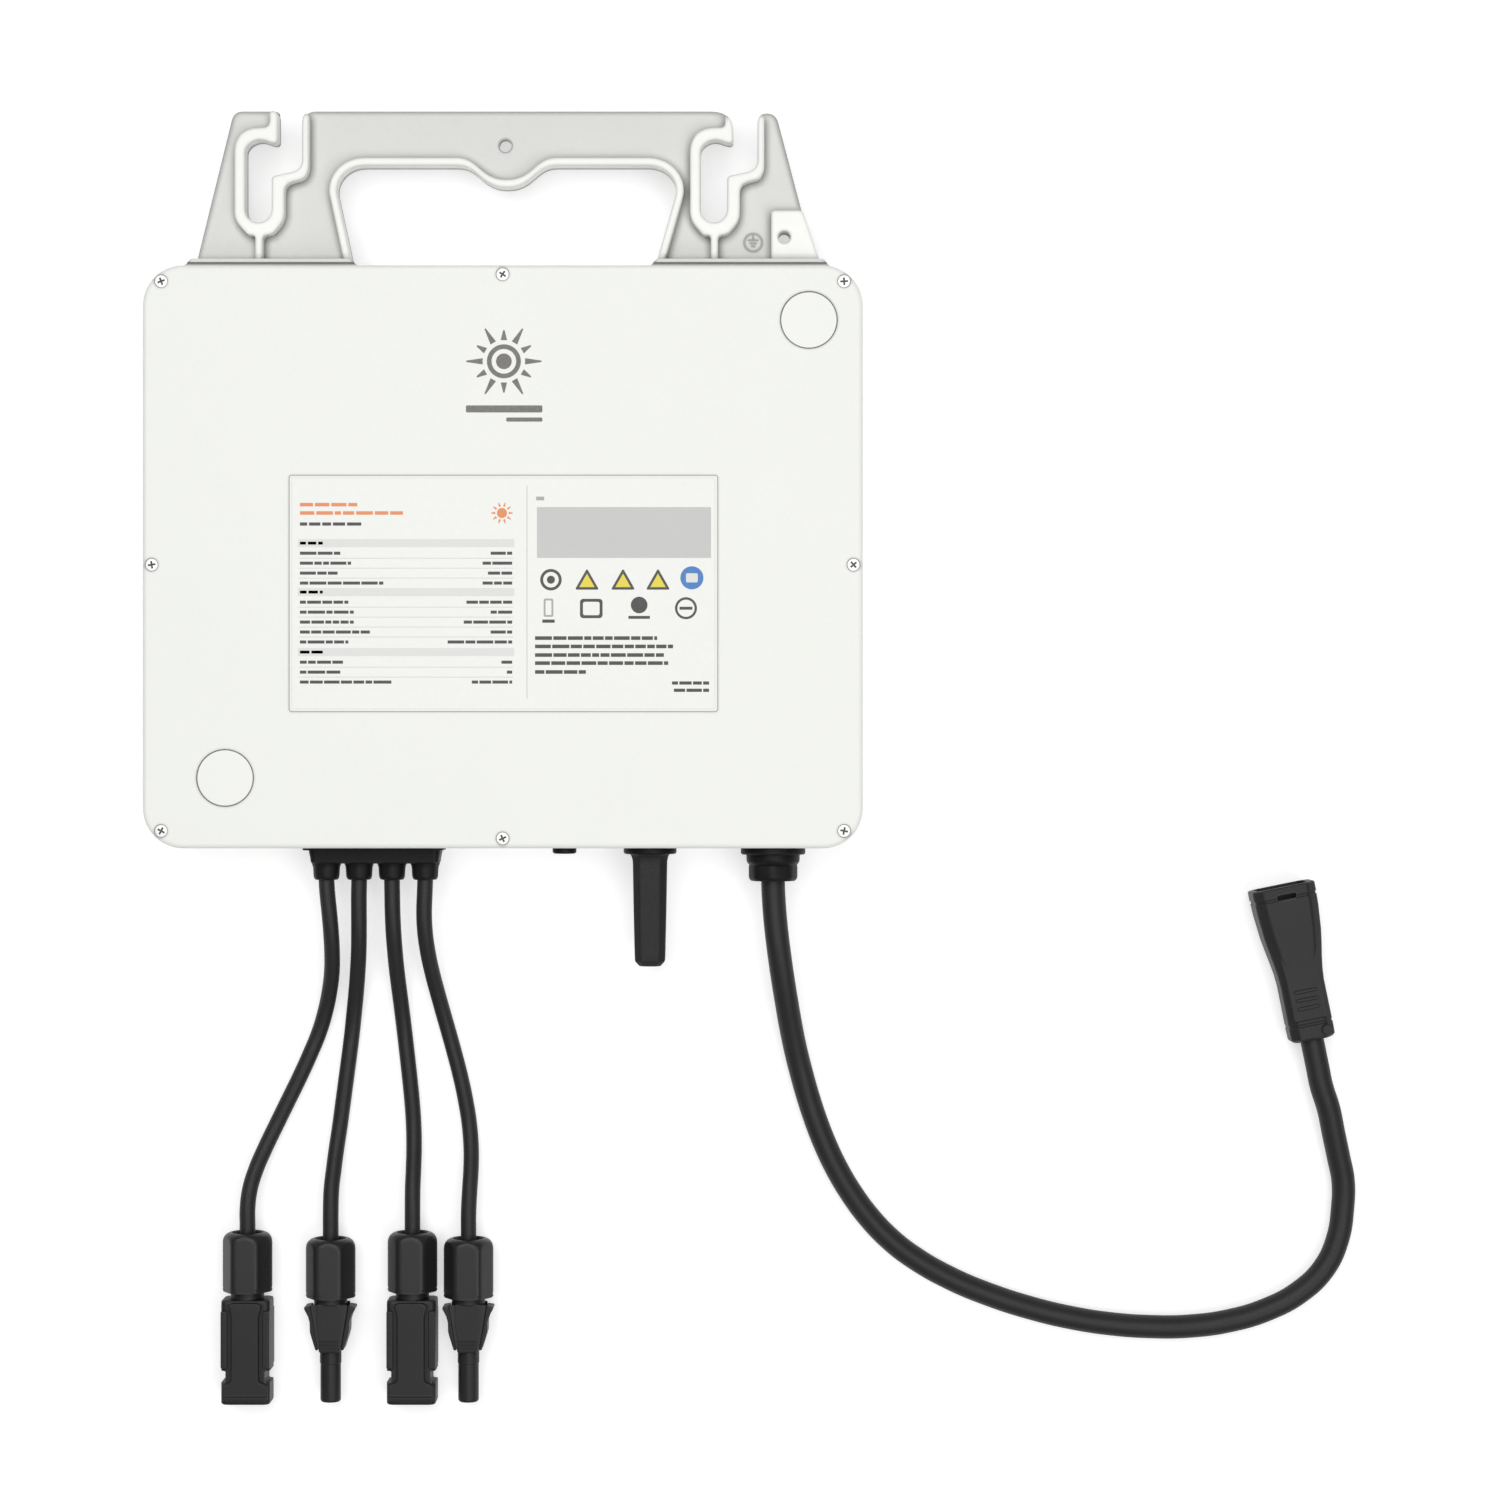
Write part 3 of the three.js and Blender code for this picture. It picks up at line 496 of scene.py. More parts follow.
# ---------------------------------------------------------------- cables, routes in metres
LEAD_RADIUS = 0.003
AC_RADIUS = 0.0045
CONNECTOR_HEIGHT = 0.0096
LEAD_STATIONS = [
    (-0.1212, 0.019), (-0.127, 0.019), (-0.133, 0.0189), (-0.14, 0.0179), (-0.148, 0.0152),
    (-0.156, 0.0116), (-0.164, 0.0079), (-0.172, 0.0049), (-0.18, 0.0033), (-0.188, 0.0032),
    (-0.197, 0.0032), (-0.206, 0.0032), (-0.215, 0.0032), (-0.224, 0.0046), (-0.232, 0.007),
    (-0.239, 0.0089),
]
LEAD_X = {
    1: [-0.0678, -0.0674, -0.0668, -0.0663, -0.0662, -0.0667, -0.0681, -0.0701, -0.0727, -0.076,
        -0.0801, -0.0845, -0.0889, -0.0931, -0.0963, -0.0982],
    2: [-0.0555, -0.0556, -0.0556, -0.0557, -0.0561, -0.0569, -0.0579, -0.059, -0.06, -0.061,
        -0.0622, -0.0634, -0.0646, -0.0658, -0.0666, -0.0672],
    3: [-0.0431, -0.043, -0.0429, -0.0427, -0.0424, -0.042, -0.0414, -0.0407, -0.0399, -0.039,
        -0.038, -0.0371, -0.0365, -0.0362, -0.0362, -0.0363],
    4: [-0.0306, -0.0308, -0.031, -0.0308, -0.03, -0.0287, -0.027, -0.0251, -0.023, -0.0208,
        -0.0185, -0.0166, -0.0152, -0.0144, -0.0143, -0.0146],
}
AC_ROUTE = [
    (0.1007, -0.1216, 0.019), (0.1011, -0.1304, 0.019), (0.1019, -0.1394, 0.019),
    (0.103, -0.1485, 0.0186), (0.1043, -0.1577, 0.0169), (0.1058, -0.167, 0.0142),
    (0.1074, -0.1763, 0.011), (0.1093, -0.1857, 0.008), (0.1116, -0.195, 0.0058),
    (0.1142, -0.2043, 0.0048), (0.1172, -0.2134, 0.0048), (0.1208, -0.2226, 0.0048),
    (0.1252, -0.2318, 0.0048), (0.1306, -0.2409, 0.0048), (0.1373, -0.25, 0.0048),
    (0.1452, -0.2583, 0.0048), (0.154, -0.2652, 0.0048), (0.1683, -0.2734, 0.0048),
    (0.1836, -0.2798, 0.0048), (0.1988, -0.2847, 0.0048), (0.2141, -0.2884, 0.0048),
    (0.2294, -0.2908, 0.0048), (0.2446, -0.2919, 0.0048), (0.2599, -0.2917, 0.0048),
    (0.2751, -0.2896, 0.0048), (0.2896, -0.2852, 0.0048), (0.3018, -0.2786, 0.0048),
    (0.311, -0.2696, 0.0048), (0.3162, -0.2584, 0.0048), (0.3181, -0.2465, 0.0048),
    (0.3182, -0.2363, 0.0054), (0.3162, -0.2269, 0.0068), (0.314, -0.2176, 0.0085),
    (0.3119, -0.2083, 0.0099),
]
AC_BASE = Vector((0.3054, -0.1816, 0.0106))
AC_ANGLE = math.radians(11.5)
AC_AXIS = Vector((-math.sin(AC_ANGLE), math.cos(AC_ANGLE), 0))
AC_STRAIGHT = [0.018, 0.011, 0.005, -0.004]  # distances back from the AC connector's base


def nut_end(number):
    """The middle of a solar connector's cable end, in metres."""
    low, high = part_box(f"coupling_nut_{number}")
    return Vector(((low.x + high.x) / 2, high.y, CONNECTOR_HEIGHT))


def cable(name, points, radius, stands_for):
    data = bpy.data.curves.new(name, "CURVE")
    data.dimensions = "3D"
    data.bevel_depth = radius
    data.bevel_resolution = 5
    data.resolution_u = 6
    data.use_fill_caps = True
    spline = data.splines.new("BEZIER")
    spline.bezier_points.add(len(points) - 1)
    for knot, point in zip(spline.bezier_points, points):
        knot.co = point
        knot.handle_left_type = knot.handle_right_type = "AUTO"
    data.materials.append(FINISHES["jacket"])
    obj = bpy.data.objects.new(name, data)
    bpy.context.scene.collection.objects.link(obj)
    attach(obj, "root")
    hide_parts(stands_for)
    return obj


def lead_route(number):
    end = nut_end(number)
    free = [(x, y, z) for x, (y, z) in zip(LEAD_X[number], LEAD_STATIONS)]
    inside = [(free[0][0], free[0][1] + 0.004, free[0][2])]
    return inside + free + [tuple(end + Vector((0, d, 0))) for d in (0.009, 0.003, -0.0067)]


LEADS = {
    n: cable(f"solar_lead_{n}", lead_route(n), LEAD_RADIUS, f"dc_cable_{n}") for n in NUMBERS
}
AC_INSIDE = (AC_ROUTE[0][0], AC_ROUTE[0][1] + 0.006, AC_ROUTE[0][2])
AC_LEAD = cable(
    "ac_lead", [AC_INSIDE, *AC_ROUTE] + [tuple(AC_BASE - AC_AXIS * d) for d in AC_STRAIGHT],
    AC_RADIUS, "ac_cable",
)


# ---------------------------------------------------------------- housing
SCREWS = [middle(f"cover_screw_{i}") for i in COVER_SCREWS]
POTTING = {}  # side: x, y and radius
for side in ("upper", "lower"):
    plug_low, plug_high = box_mm(f"potting_plug_{side}")
    centre = (plug_low + plug_high) / 2
    POTTING[side] = (centre.x, centre.y, (plug_high.x - plug_low.x) / 2)


def add_housing():
    low, high = box_mm("rear_housing")
    outline = rectangle(low.x, high.x, low.y, high.y, CORNER, 10)
    wall, floor = 9, 6.5
    body = slab(outline, [(2.2, 0), (1.2, 0.3), (0.3, 1.2), (0, 2.2), (0, high.z - 0.4), (0.4, high.z)])
    cavity = slab(
        rectangle(low.x + wall, high.x - wall, low.y + wall, high.y - wall, CORNER - wall),
        [(0, floor), (0, high.z + 1)],
    )
    grooves = []
    pitch, half_width, end = 13, 3.5, 91.5
    for i in range(8):
        for side in (-1, 1):
            x = side * (i + 0.5) * pitch
            capsule = arc((x, end), half_width, 0, 180, 10) + arc((x, -end), half_width, 180, 360, 10)
            grooves.append(slab(capsule, [(-0.8, -0.6), (0, 0.2), (0, 2), (0.9, 3)]))
    holes = []
    for i in BRACKET_SCREWS:
        at = middle(f"bracket_screw_{i}")
        holes.append(lathe([(0, 98), (2.2, 98), (2.2, 110), (0, 110)], (at.x, 0, at.z)))
    shape = combined(body, cut=[cavity, *grooves, *holes])
    piece("housing_casting", shape, "housing", stands_for=["rear_housing"], sharp=40)


def add_cover():
    outline = rectangle(COVER_LOW.x, COVER_HIGH.x, COVER_LOW.y, COVER_HIGH.y, CORNER, 16)
    plate = slab(outline, round_edge(COVER_LOW.z, FRONT, 1.7, 6, foot=0.4))
    cuts = []
    for x, y, _ in SCREWS:
        cuts.append(lathe([
            (0, FRONT - 4), (1.8, FRONT - 4), (1.8, FRONT - 1.9), (2.45, FRONT - 1.2),
            (2.5, FRONT - 0.1), (2.8, FRONT + 0.3), (0, FRONT + 0.3),
        ], (x, y, 0), "z", 24))
    for x, y, radius in POTTING.values():
        cuts.append(lathe([
            (0, FRONT - 5), (9.3, FRONT - 5), (9.3, FRONT - 1.6), (radius + 0.3, FRONT - 1.6),
            (radius + 0.3, FRONT - 0.15), (radius + 0.6, FRONT + 0.15), (0, FRONT + 0.15),
        ], (x, y, 0), "z", 64))
    shape = combined(plate, cut=cuts)
    piece("cover_plate", shape, "cover", stands_for=["front_cover"], sharp=40)


def add_screws():
    """Countersunk heads, each with a cross recess turned its own way."""
    top = FRONT - 0.25
    for i, (x, y, _) in enumerate(SCREWS):
        head = lathe([
            (0, FRONT - 5), (1.5, FRONT - 5), (1.5, top - 1.6), (2.3, top - 0.7),
            (2.42, top - 0.25), (2.2, top - 0.05), (1.5, top), (0, top),
        ], (x, y, 0), "z", 24)
        turn = Matrix.Rotation(math.radians(20 + 37 * i), 4, "Z")
        arms = []
        for angle in (0, 90):
            arm = slab(rectangle(-1.5, 1.5, -0.42, 0.42), [(0.25, top - 1.3), (0, top + 0.4)])
            arm.transform(Matrix.Translation((x, y, 0)) @ turn @ Matrix.Rotation(math.radians(angle), 4, "Z"))
            arms.append(arm)
        piece(f"cover_screw_head_{i + 1}", combined(head, cut=arms), "screw",
              stands_for=[f"cover_screw_{i + 1}"])


def add_potting_plugs():
    for side, (x, y, radius) in POTTING.items():
        step = FRONT - 1.6
        shape = lathe([
            (0, FRONT - 4.6), (9, FRONT - 4.6), (9, step), (radius, step), (radius, FRONT - 0.35),
            (radius - 0.15, FRONT - 0.08), (radius - 0.45, FRONT), (0, FRONT),
        ], (x, y, 0), "z", 64)
        piece(f"potting_cap_{side}", shape, "plug", stands_for=[f"potting_plug_{side}"])


# ---------------------------------------------------------------- printing
class Printing:
    """Very thin plates of ink between two heights, which together make one piece."""

    def __init__(self, low, high, inks):
        self.shape, self.low, self.high, self.inks = bmesh.new(), low, high, inks
        self.draw = random.Random(5)

    def mark(self, outline, ink=None, holes=(), lift=0):
        """Adds one shape, in the first ink if none is named."""
        plate = slab(outline, [(0, self.low), (0, self.high + lift)], holes)
        for face in plate.faces:
            face.material_index = self.inks.index(ink or self.inks[0])
        mesh = bpy.data.meshes.new("work")
        plate.to_mesh(mesh)
        plate.free()
        self.shape.from_mesh(mesh)
        bpy.data.meshes.remove(mesh)

    def ring(self, centre, outer, inner, steps=32):
        self.mark(circle(centre, outer, steps), holes=[circle(centre, inner, steps)])

    def rays(self, centre, ends, start, wide, narrow, ink=None):
        """Rays round a sun, one for each distance at which a ray ends."""
        for i, end in enumerate(ends):
            turn = Matrix.Rotation(math.tau * i / len(ends), 2)
            corners = [(start, -wide), (end, -narrow), (end, narrow), (start, wide)]
            self.mark([tuple(centre + turn @ Vector(corner)) for corner in corners], ink)

    def bar(self, x0, x1, y, thick, ink):
        self.mark(rectangle(x0, x1, y - thick / 2, y + thick / 2), ink)

    def words(self, x0, x1, y, thick, ink, gap=0.7):
        """A line of small bars of uneven length, from x0 to x1."""
        x = x0
        while x < x1 - 1:
            end = min(x + self.draw.uniform(2.2, 6.5), x1)
            if x1 - end < 1.4:
                end = x1
            self.bar(x, end, y, thick, ink)
            x = end + gap


LABEL_LEFT, LABEL_RIGHT = -75.3, 3.6  # of the label's left column


def add_label():
    low, high = box_mm("rating_label")
    top = high.z - 0.06
    outline = rectangle(low.x, high.x, low.y, high.y, 1.5, 6)
    film = slab(outline, [(0.05, low.z), (0, low.z + 0.03), (0, top - 0.03), (0.04, top)])
    piece("label_sheet", film, "film", stands_for=["rating_label"])
    sheet = Printing(top - 0.02, top + 0.04, list(INKS))
    print_borders(sheet, outline)
    print_heading(sheet)
    print_ratings(sheet)
    sheet.words(12.5, 15.5, 21.6, 1.4, "ink_grey")
    sheet.mark(rectangle(12.8, 77.5, -0.5, 18.4), "ink_pale")
    print_marks(sheet)
    print_address(sheet)
    piece("label_print", sheet.shape, sheet.inks)


def print_borders(sheet, outline):
    outer = inset(outline, 0.25)
    sheet.mark(outer, "ink_grey", [inset(outer, 0.45)])
    inner = inset(outer, 1.1)
    sheet.mark(inner, "ink_faint", [inset(inner, 0.25)])
    sheet.bar(8.95, 9.25, -13.2, 79, "ink_pale")


def print_heading(sheet):
    """Three lines, and an orange sun in the left column's corner."""
    sheet.words(LABEL_LEFT, -54, 19.3, 1.3, "ink_orange")
    sheet.words(LABEL_LEFT, -37, 16.2, 1.3, "ink_orange")
    sheet.words(LABEL_LEFT, -52.5, 12.1, 1.2, "ink_dark")
    sun = Vector((-0.2, 16.2))
    sheet.mark(circle(sun, 1.9, 20), "ink_orange")
    sheet.rays(sun, [4.1] * 10, 2.5, 0.45, 0.12, "ink_orange")


def print_ratings(sheet):
    """Three sections: a grey band, then rows with the lengths of a name and a value."""
    sections = [
        (5, [(15, 8), (19, 11), (14, 9), (31, 11)]),
        (-13.2, [(18, 17), (20, 8), (20, 18), (26, 8), (18, 24)]),
        (-35.5, [(16, 4), (15, 2), (34, 15)]),
    ]
    for band, rows in sections:
        sheet.bar(LABEL_LEFT - 0.8, LABEL_RIGHT + 0.8, band, 3, "ink_faint")
        sheet.words(LABEL_LEFT, LABEL_LEFT + 8.5, band, 1.1, "ink_grey")
        for i, (name, value) in enumerate(rows):
            y = band - 3.75 - 3.7 * i
            sheet.words(LABEL_LEFT, LABEL_LEFT + name, y, 1.15, "ink_dark", 0.5)
            sheet.words(LABEL_RIGHT - value, LABEL_RIGHT, y, 1.15, "ink_dark", 0.5)
            if i:
                sheet.bar(LABEL_LEFT - 0.5, LABEL_RIGHT + 0.5, y + 1.85, 0.18, "ink_pale")


def print_marks(sheet):
    """Two rows of plain shapes where the approval marks are, none of them a real mark."""
    for x in (31.4, 44.8, 57.8):
        corners = [(x - 4.5, -12.3), (x + 4.5, -12.3), (x, -4.4)]
        sheet.mark(rounded(corners, 0.8, 3))
        centre = Vector((x, -9.7))
        inner = [tuple(centre.lerp(Vector(corner), 0.64)) for corner in corners]
        sheet.mark(inner, "ink_yellow", lift=0.01)
    sheet.mark(circle((70.4, -7.9), 4.3), "ink_blue")
    sheet.mark(rectangle(68.2, 72.6, -9.6, -6.2, 0.5, 3), "ink_faint", lift=0.01)
    sheet.ring((18, -8.6), 4, 2.9)
    sheet.mark(circle((18, -8.6), 1.5, 24))
    sheet.mark(rectangle(14.8, 19.4, -24.6, -23.4))
    sheet.mark(rectangle(15.3, 18.9, -22.4, -15.6, 0.6, 3), "ink_grey",
               [rectangle(16, 18.2, -21.7, -16.3, 0.3, 2)])
    sheet.mark(rectangle(28.8, 37.2, -22.9, -15.7, 1.2, 4),
               holes=[rectangle(29.9, 36.1, -21.8, -16.8, 0.7, 3)])
    sheet.mark(circle((50.8, -18), 3.1, 28))
    sheet.bar(46.8, 54.8, -22.6, 1.1, "ink_dark")
    sheet.ring((68.2, -19.2), 4.1, 3.2)
    sheet.bar(65.8, 70.6, -19.2, 1.1, "ink_dark")


def print_address(sheet):
    for y, end in ((-30.3, 57.5), (-33.4, 63.4), (-36.6, 60), (-39.6, 61.6), (-42.9, 31)):
        sheet.words(12.1, end, y, 1.35, "ink_dark", 0.5)
    sheet.words(63, 76.8, -47, 1.2, "ink_dark", 0.5)
    sheet.words(63.7, 76.8, -49.7, 1.2, "ink_dark", 0.5)


def add_emblem():
    """A plain sun over two plain bars, printed on the cover."""
    sheet = Printing(FRONT - 0.02, FRONT + 0.05, ["ink_silver"])
    sun = Vector((0.5, 72.6))
    sheet.ring(sun, 6.3, 4.6, 48)
    sheet.mark(circle(sun, 2.9, 36))
    sheet.rays(sun, [14, 11.6] * 6, 7.9, 1.15, 0.25)
    sheet.mark(rectangle(-13.6, 14.8, 53.6, 56.2, 0.5, 3))
    sheet.mark(rectangle(1.4, 14.8, 50.2, 51.7, 0.4, 3))
    piece("cover_emblem", sheet.shape, sheet.inks)


# ---------------------------------------------------------------- hanger bracket
# X of each hook slot's centre line: run and drop of its lip's round corner, drop of its far side
HOOKS = {-92.9: (2.5, 2.5, 0), 78.4: (8.3, 8, 0.7)}
BRACKET_FOOT, BRACKET_TOP = (round(corner.y, 2) for corner in box_mm("hanger_bracket"))
WEB_BACK, WEB_FRONT, RIB_FRONT = 14, 17.5, 24
FEET = [(-121.5, -54.2), (53.4, 123)]


def bracket_outline(lift):
    """The web's outline, with its foot raised a little into the foot plates."""
    left, right = HOOKS
    top = BRACKET_TOP
    foot = BRACKET_FOOT + lift
    outline = [(-118.2, foot), (119.6, foot), (111.4, 132.5), (102.7, 165.5)]
    outline += bezier([outline[-1], (101.8, top - 0.7), (98.3, top - 0.7)])
    outline += bezier([outline[-1], (right + 16.4, top - 0.7), (right + 16.4, 165)])
    outline += [(right + 16.4, 159), (right + 7.3, 159), (right + 7.3, 161.7)]
    outline += bezier([outline[-1], (right + 7.3, top), (right - 1, top)])
    outline += [(left + 20.6, top)]
    outline += bezier([outline[-1], (left + 16.4, top), (left + 16.4, top - 4.2)])
    outline += [(left + 16.4, 159), (left + 7.3, 159), (left + 7.3, top - 2.5)]
    outline += bezier([outline[-1], (left + 7.3, top), (left + 4.8, top)])
    outline += [(left - 7.1, top)]
    return outline + bezier([outline[-1], (-103.4, top), (-104.2, 166)])


def slot_edge(x):
    """The hook slot's edge from the lip, round the bottom and up the entry's far side."""
    edge = [(x + 7.3, 157.4)]
    edge += bezier([edge[-1], (x + 7, 156.1), (x + 5.4, 156.3)], 4) + [(x + 3, 157.1)]
    edge += bezier([edge[-1], (x, 158.2), (x - 2.6, 156.6)])
    edge += bezier([edge[-1], (x - 5, 155.2), (x - 5, 152.6)])
    edge += arc((x, 131.5), 5, 180, 360, 14) + [(x + 5, 142.6)]
    edge += bezier([edge[-1], (x + 5, 143.8), (x + 6.4, 144.2)], 4) + [(x + 11.8, 145.4)]
    return edge + bezier([edge[-1], (x + 16.4, 146.1), (x + 16.4, 150)])


def hook_rib(x):
    """The rib round a hook slot, with the stem under it and round ends at the top."""
    run, drop, lower = HOOKS[x]
    reach = min(1, math.sqrt(2.3 / run))
    lip = [
        (x + 7.3 - run * t * t, BRACKET_TOP - 1.1 - drop * (1 - t) ** 2)
        for t in (reach * i / 8 for i in range(9))
    ]
    top = BRACKET_TOP - 0.9 - lower
    far = [(19, 3.2), (18.9, 2.2), (18.3, 1.3), (17.5, 1.3), (16.7, 2.5), (16.4, 4.2)]
    far = [(x + u, top - v) for u, v in far]
    corners = [
        (x + 4.2, lip[-1][1] - 1.1), (x + 4.2, 162.3), (x - 2.7, 162), (x - 6.8, 160), (x - 9, 155.5),
        (x - 9, 127.5), (x - 3.9, 121.7), (x - 1.2, 121.7), (x - 1.2, 110), (x + 1.6, 110),
        (x + 1.6, 121.7), (x + 5.2, 122), (x + 9.8, 127.5), (x + 9.8, 141), (x + 17.4, 143),
        (x + 19, 146.2), far[0],
    ]
    return corners[:1] + rounded(corners, 3.2, 5)[6:-6] + far + slot_edge(x)[::-1] + lip


def hand_hole(margin, lift=0.0):
    """The hand hole's edge, or with a margin the outer edge of its rib, from right to left."""
    side, top = margin, 147.9 + margin
    edge = [(56.1 + side, BRACKET_FOOT + lift), (63.8 + side, 136)]
    edge += bezier([edge[-1], (65.6 + side, 142), (61 + side, top), (53.6, top)], 12)
    edge += [(19.2, top)]
    edge += bezier([edge[-1], (11, top), (10.5, top - 8.3), (0.5, top - 8.3)], 12)
    edge += bezier([edge[-1], (-9.5, top - 8.3), (-10, top), (-18.2, top)], 12)
    edge += [(-52.8, top)]
    edge += bezier([edge[-1], (-60.2 - side, top), (-64.8 - side, 142), (-63 - side, 136)], 12)
    return edge + [(-57.2 - side, BRACKET_FOOT + lift)]


def bracket_web():
    """The web with a round front rim, cut by the hand hole, the hook slots and a small hole."""
    rim = 2.4
    plate = slab(bracket_outline(0.5), [(0.5, WEB_BACK), *round_edge(WEB_BACK + 0.5, WEB_FRONT, rim, 6)])
    openings = [hand_hole(0) + [(-57.2, 100), (56.1, 100)]]
    openings += [slot_edge(x) + [(x + 16.4, 175), (x + 7.3, 175)] for x in HOOKS]
    holes = [
        slab(inset(outline, -0.3 if area(outline) > 0 else 0.3), [(0, 5), (0, 40)]) for outline in openings
    ]
    holes.append(lathe([
        (0, 5), (2.3, 5), (2.3, WEB_FRONT - 0.6), (3, WEB_FRONT + 0.1), (0, WEB_FRONT + 0.1),
    ], (-0.4, 156.4, 0), "z", 28))
    return combined(plate, cut=holes)


def bracket_ribs():
    """The ribs round the hook slots and the hand hole, and the earth pad."""
    pad = [(99.9, 109.1), (119.3, 109.1), (111.8, 131.1), (99.9, 131.1)]
    outlines = [hook_rib(x) for x in HOOKS]
    outlines += [hand_hole(3, 0.6) + hand_hole(0, 0.6)[::-1], rounded(pad, 1.5, 4)]
    return [slab(outline, round_edge(WEB_BACK + 0.6, RIB_FRONT, 0.95, 5)) for outline in outlines]


def add_bracket():
    low, high = box_mm("hanger_bracket")
    added = bracket_ribs()
    cuts = [lathe([
        (0, 5), (2.25, 5), (2.25, RIB_FRONT - 0.5), (2.75, RIB_FRONT + 0.1), (0, RIB_FRONT + 0.1),
    ], (104.9, 121, 0), "z", 28)]
    for i in BRACKET_SCREWS:
        at = middle(f"bracket_screw_{i}")
        cuts.append(lathe([(0, 100), (2.1, 100), (2.1, 116), (0, 116)], (at.x, 0, at.z)))
    for start, end in FEET:
        foot = [(start, BRACKET_FOOT), (end, BRACKET_FOOT), (end - 3.6, 112.5), (start + 3.6, 112.5)]
        added.append(slab(rounded(foot, 1.0, 3), round_both(low.z, high.z, 0.6, 4)))
        groove = rectangle(start - 1, end + 1, 110.2, 111)
        cuts.append(slab(groove, [(0, high.z - 1.4), (0, high.z + 0.5)]))
    piece("bracket_casting", combined(bracket_web(), added, cuts), "bracket",
          stands_for=["hanger_bracket"], sharp=38)


def add_earth_mark():
    """The general sign for earth, cast beside the pad: a ring round three bars and a stem, drawn in grey ink
    as painted shade for the cast relief.
    """
    sheet = Printing(17.3, 17.75, ["ink_grey"])
    at = Vector((93.2, 119.8))
    sheet.ring(at, 3.6, 3.1, 36)
    for y, half in ((0.9, 1.9), (-0.3, 1.3), (-1.4, 0.7)):
        sheet.bar(at.x - half, at.x + half, at.y + y, 0.4, "ink_grey")
    sheet.mark(rectangle(at.x - 0.2, at.x + 0.2, at.y + 0.9, at.y + 2.6))
    piece("earth_mark", sheet.shape, sheet.inks)


# ---------------------------------------------------------------- bottom wall fittings
def add_solar_gland():
    axis = GLAND_AXIS
    flange = slab(
        rectangle(-76.3, -23.1, axis - 8.5, axis + 8.5, 4, 6),
        round_both(-1.1, 0, 0.4, 3), plane="xz", at=(0, BOTTOM, 0),
    )
    block = slab(
        rectangle(-73.9, -24.4, axis - 7, axis + 7, 2.6, 5),
        [(1.5, -6.1), (0.7, -5.6), (0.5, -4), (0, -1.6), (0, -0.4)], plane="xz", at=(0, BOTTOM, 0),
    )
    stubs, bores = [], []
    outer = many_sided(8, 14, math.pi / 8)
    for n in NUMBERS:
        at = (LEAD_X[n][0] / MM, BOTTOM, axis)
        stubs.append(lathe([
            (0, -3), (5.6, -3), (5.6, -6.3), (5.35, -6.8), (5.15, -7.5), (5.05, -8.4), (4.9, -10.8),
            (4.7, -11.7), (4.3, -12.2), (3.9, -12.35), (0, -12.35),
        ], at, section=lambda angle, radius, distance: radius * outer(angle)))
        bores.append(lathe([(0, -7), (3.05, -7), (3.05, -11.8), (3.5, -12.5), (0, -12.5)], at))
    inner = slab(rectangle(-71, -27, axis - 4.5, axis + 4.5, 2, 4), [(0, -0.5), (0, 8.8)],
                 plane="xz", at=(0, BOTTOM, 0))
    shape = combined(flange, [block, inner, *stubs], bores)
    piece("solar_gland", shape, "gland", stands_for=["dc_gland_block"])


def add_ac_gland():
    at = middle("ac_gland")
    octagon = many_sided(8, 16, math.pi / 8)

    def section(angle, radius, distance):
        faceted = -5.9 > distance > -12 or radius < 9
        return radius * (octagon(angle) if faceted and radius > 6 else 1)

    shape = lathe([
        (4.7, 8.6), (8, 8.6), (8, 0), (11.7, 0), (12.15, -0.4), (12.2, -2.2), (11.8, -2.75),
        (10.1, -2.9), (10.05, -4.6), (9.9, -5.6), (9.3, -6.4), (9.0, -6.9), (9.2, -7.3),
        (9.2, -11.2), (8.9, -12.1), (8.2, -12.75), (6.4, -12.8), (5.1, -12.2), (4.7, -11.2),
        (4.7, 8.6),
    ], (at.x, BOTTOM, GLAND_AXIS), segments=64, section=section)
    piece("ac_strain_relief", shape, "gland", stands_for=["ac_gland"])


def add_antenna():
    at = middle("antenna_base")
    place = (at.x, BOTTOM, GLAND_AXIS)
    flange = lathe([
        (0, 8.6), (4, 8.6), (4, 0), (9.6, 0), (9.95, -0.35), (10, -1.9), (9.7, -2.4),
        (9.2, -2.6), (0, -2.6),
    ], place, segments=48)
    piece("antenna_flange", flange, "gland", stands_for=["antenna_base"])
    end = -44.9

    def ring(half, y):
        return [
            Vector((u, y, v)) + Vector(place) for u, v in rounded(chamfered(half, half, half * 0.4), 0.7, 3)
        ]

    sheath = loft([
        ring(7.6, -2.5), ring(7.2, -2.9), ring(6.8, -3.7), ring(6.5, -5), ring(6.4, -6.5), ring(6.1, -25),
        ring(5.75, end + 4.5), ring(5.65, end + 2.2), ring(5.45, end + 1.7), ring(4.2, end + 0.3),
        ring(3.8, end + 0.05), ring(3.4, end),
    ])
    piece("antenna_sleeve", sheath, "rubber", stands_for=["antenna_sheath"])


def add_lamp():
    at = middle("status_light")
    shape = lathe([
        (0, 8.6), (3, 8.6), (3, 0), (4.3, 0), (4.5, -0.25), (4.5, -1.8), (4.3, -2.2),
        (3.9, -2.4), (3.7, -2.5), (1.6, -2.5), (1.4, -2.2), (0, -2.2),
    ], (at.x, BOTTOM, GLAND_AXIS), segments=40)
    piece("lamp_cap", shape, "gland", stands_for=["status_light"])


# ---------------------------------------------------------------- solar connectors
HEX = many_sided(6, 22, math.pi / 6)


def nut_section(angle, radius, distance):
    """Six flats, cut by the round cones of both ends, where a nut's scallops come from."""
    if radius < 7.6:
        return radius
    return min(radius, 9.45 * HEX(angle))


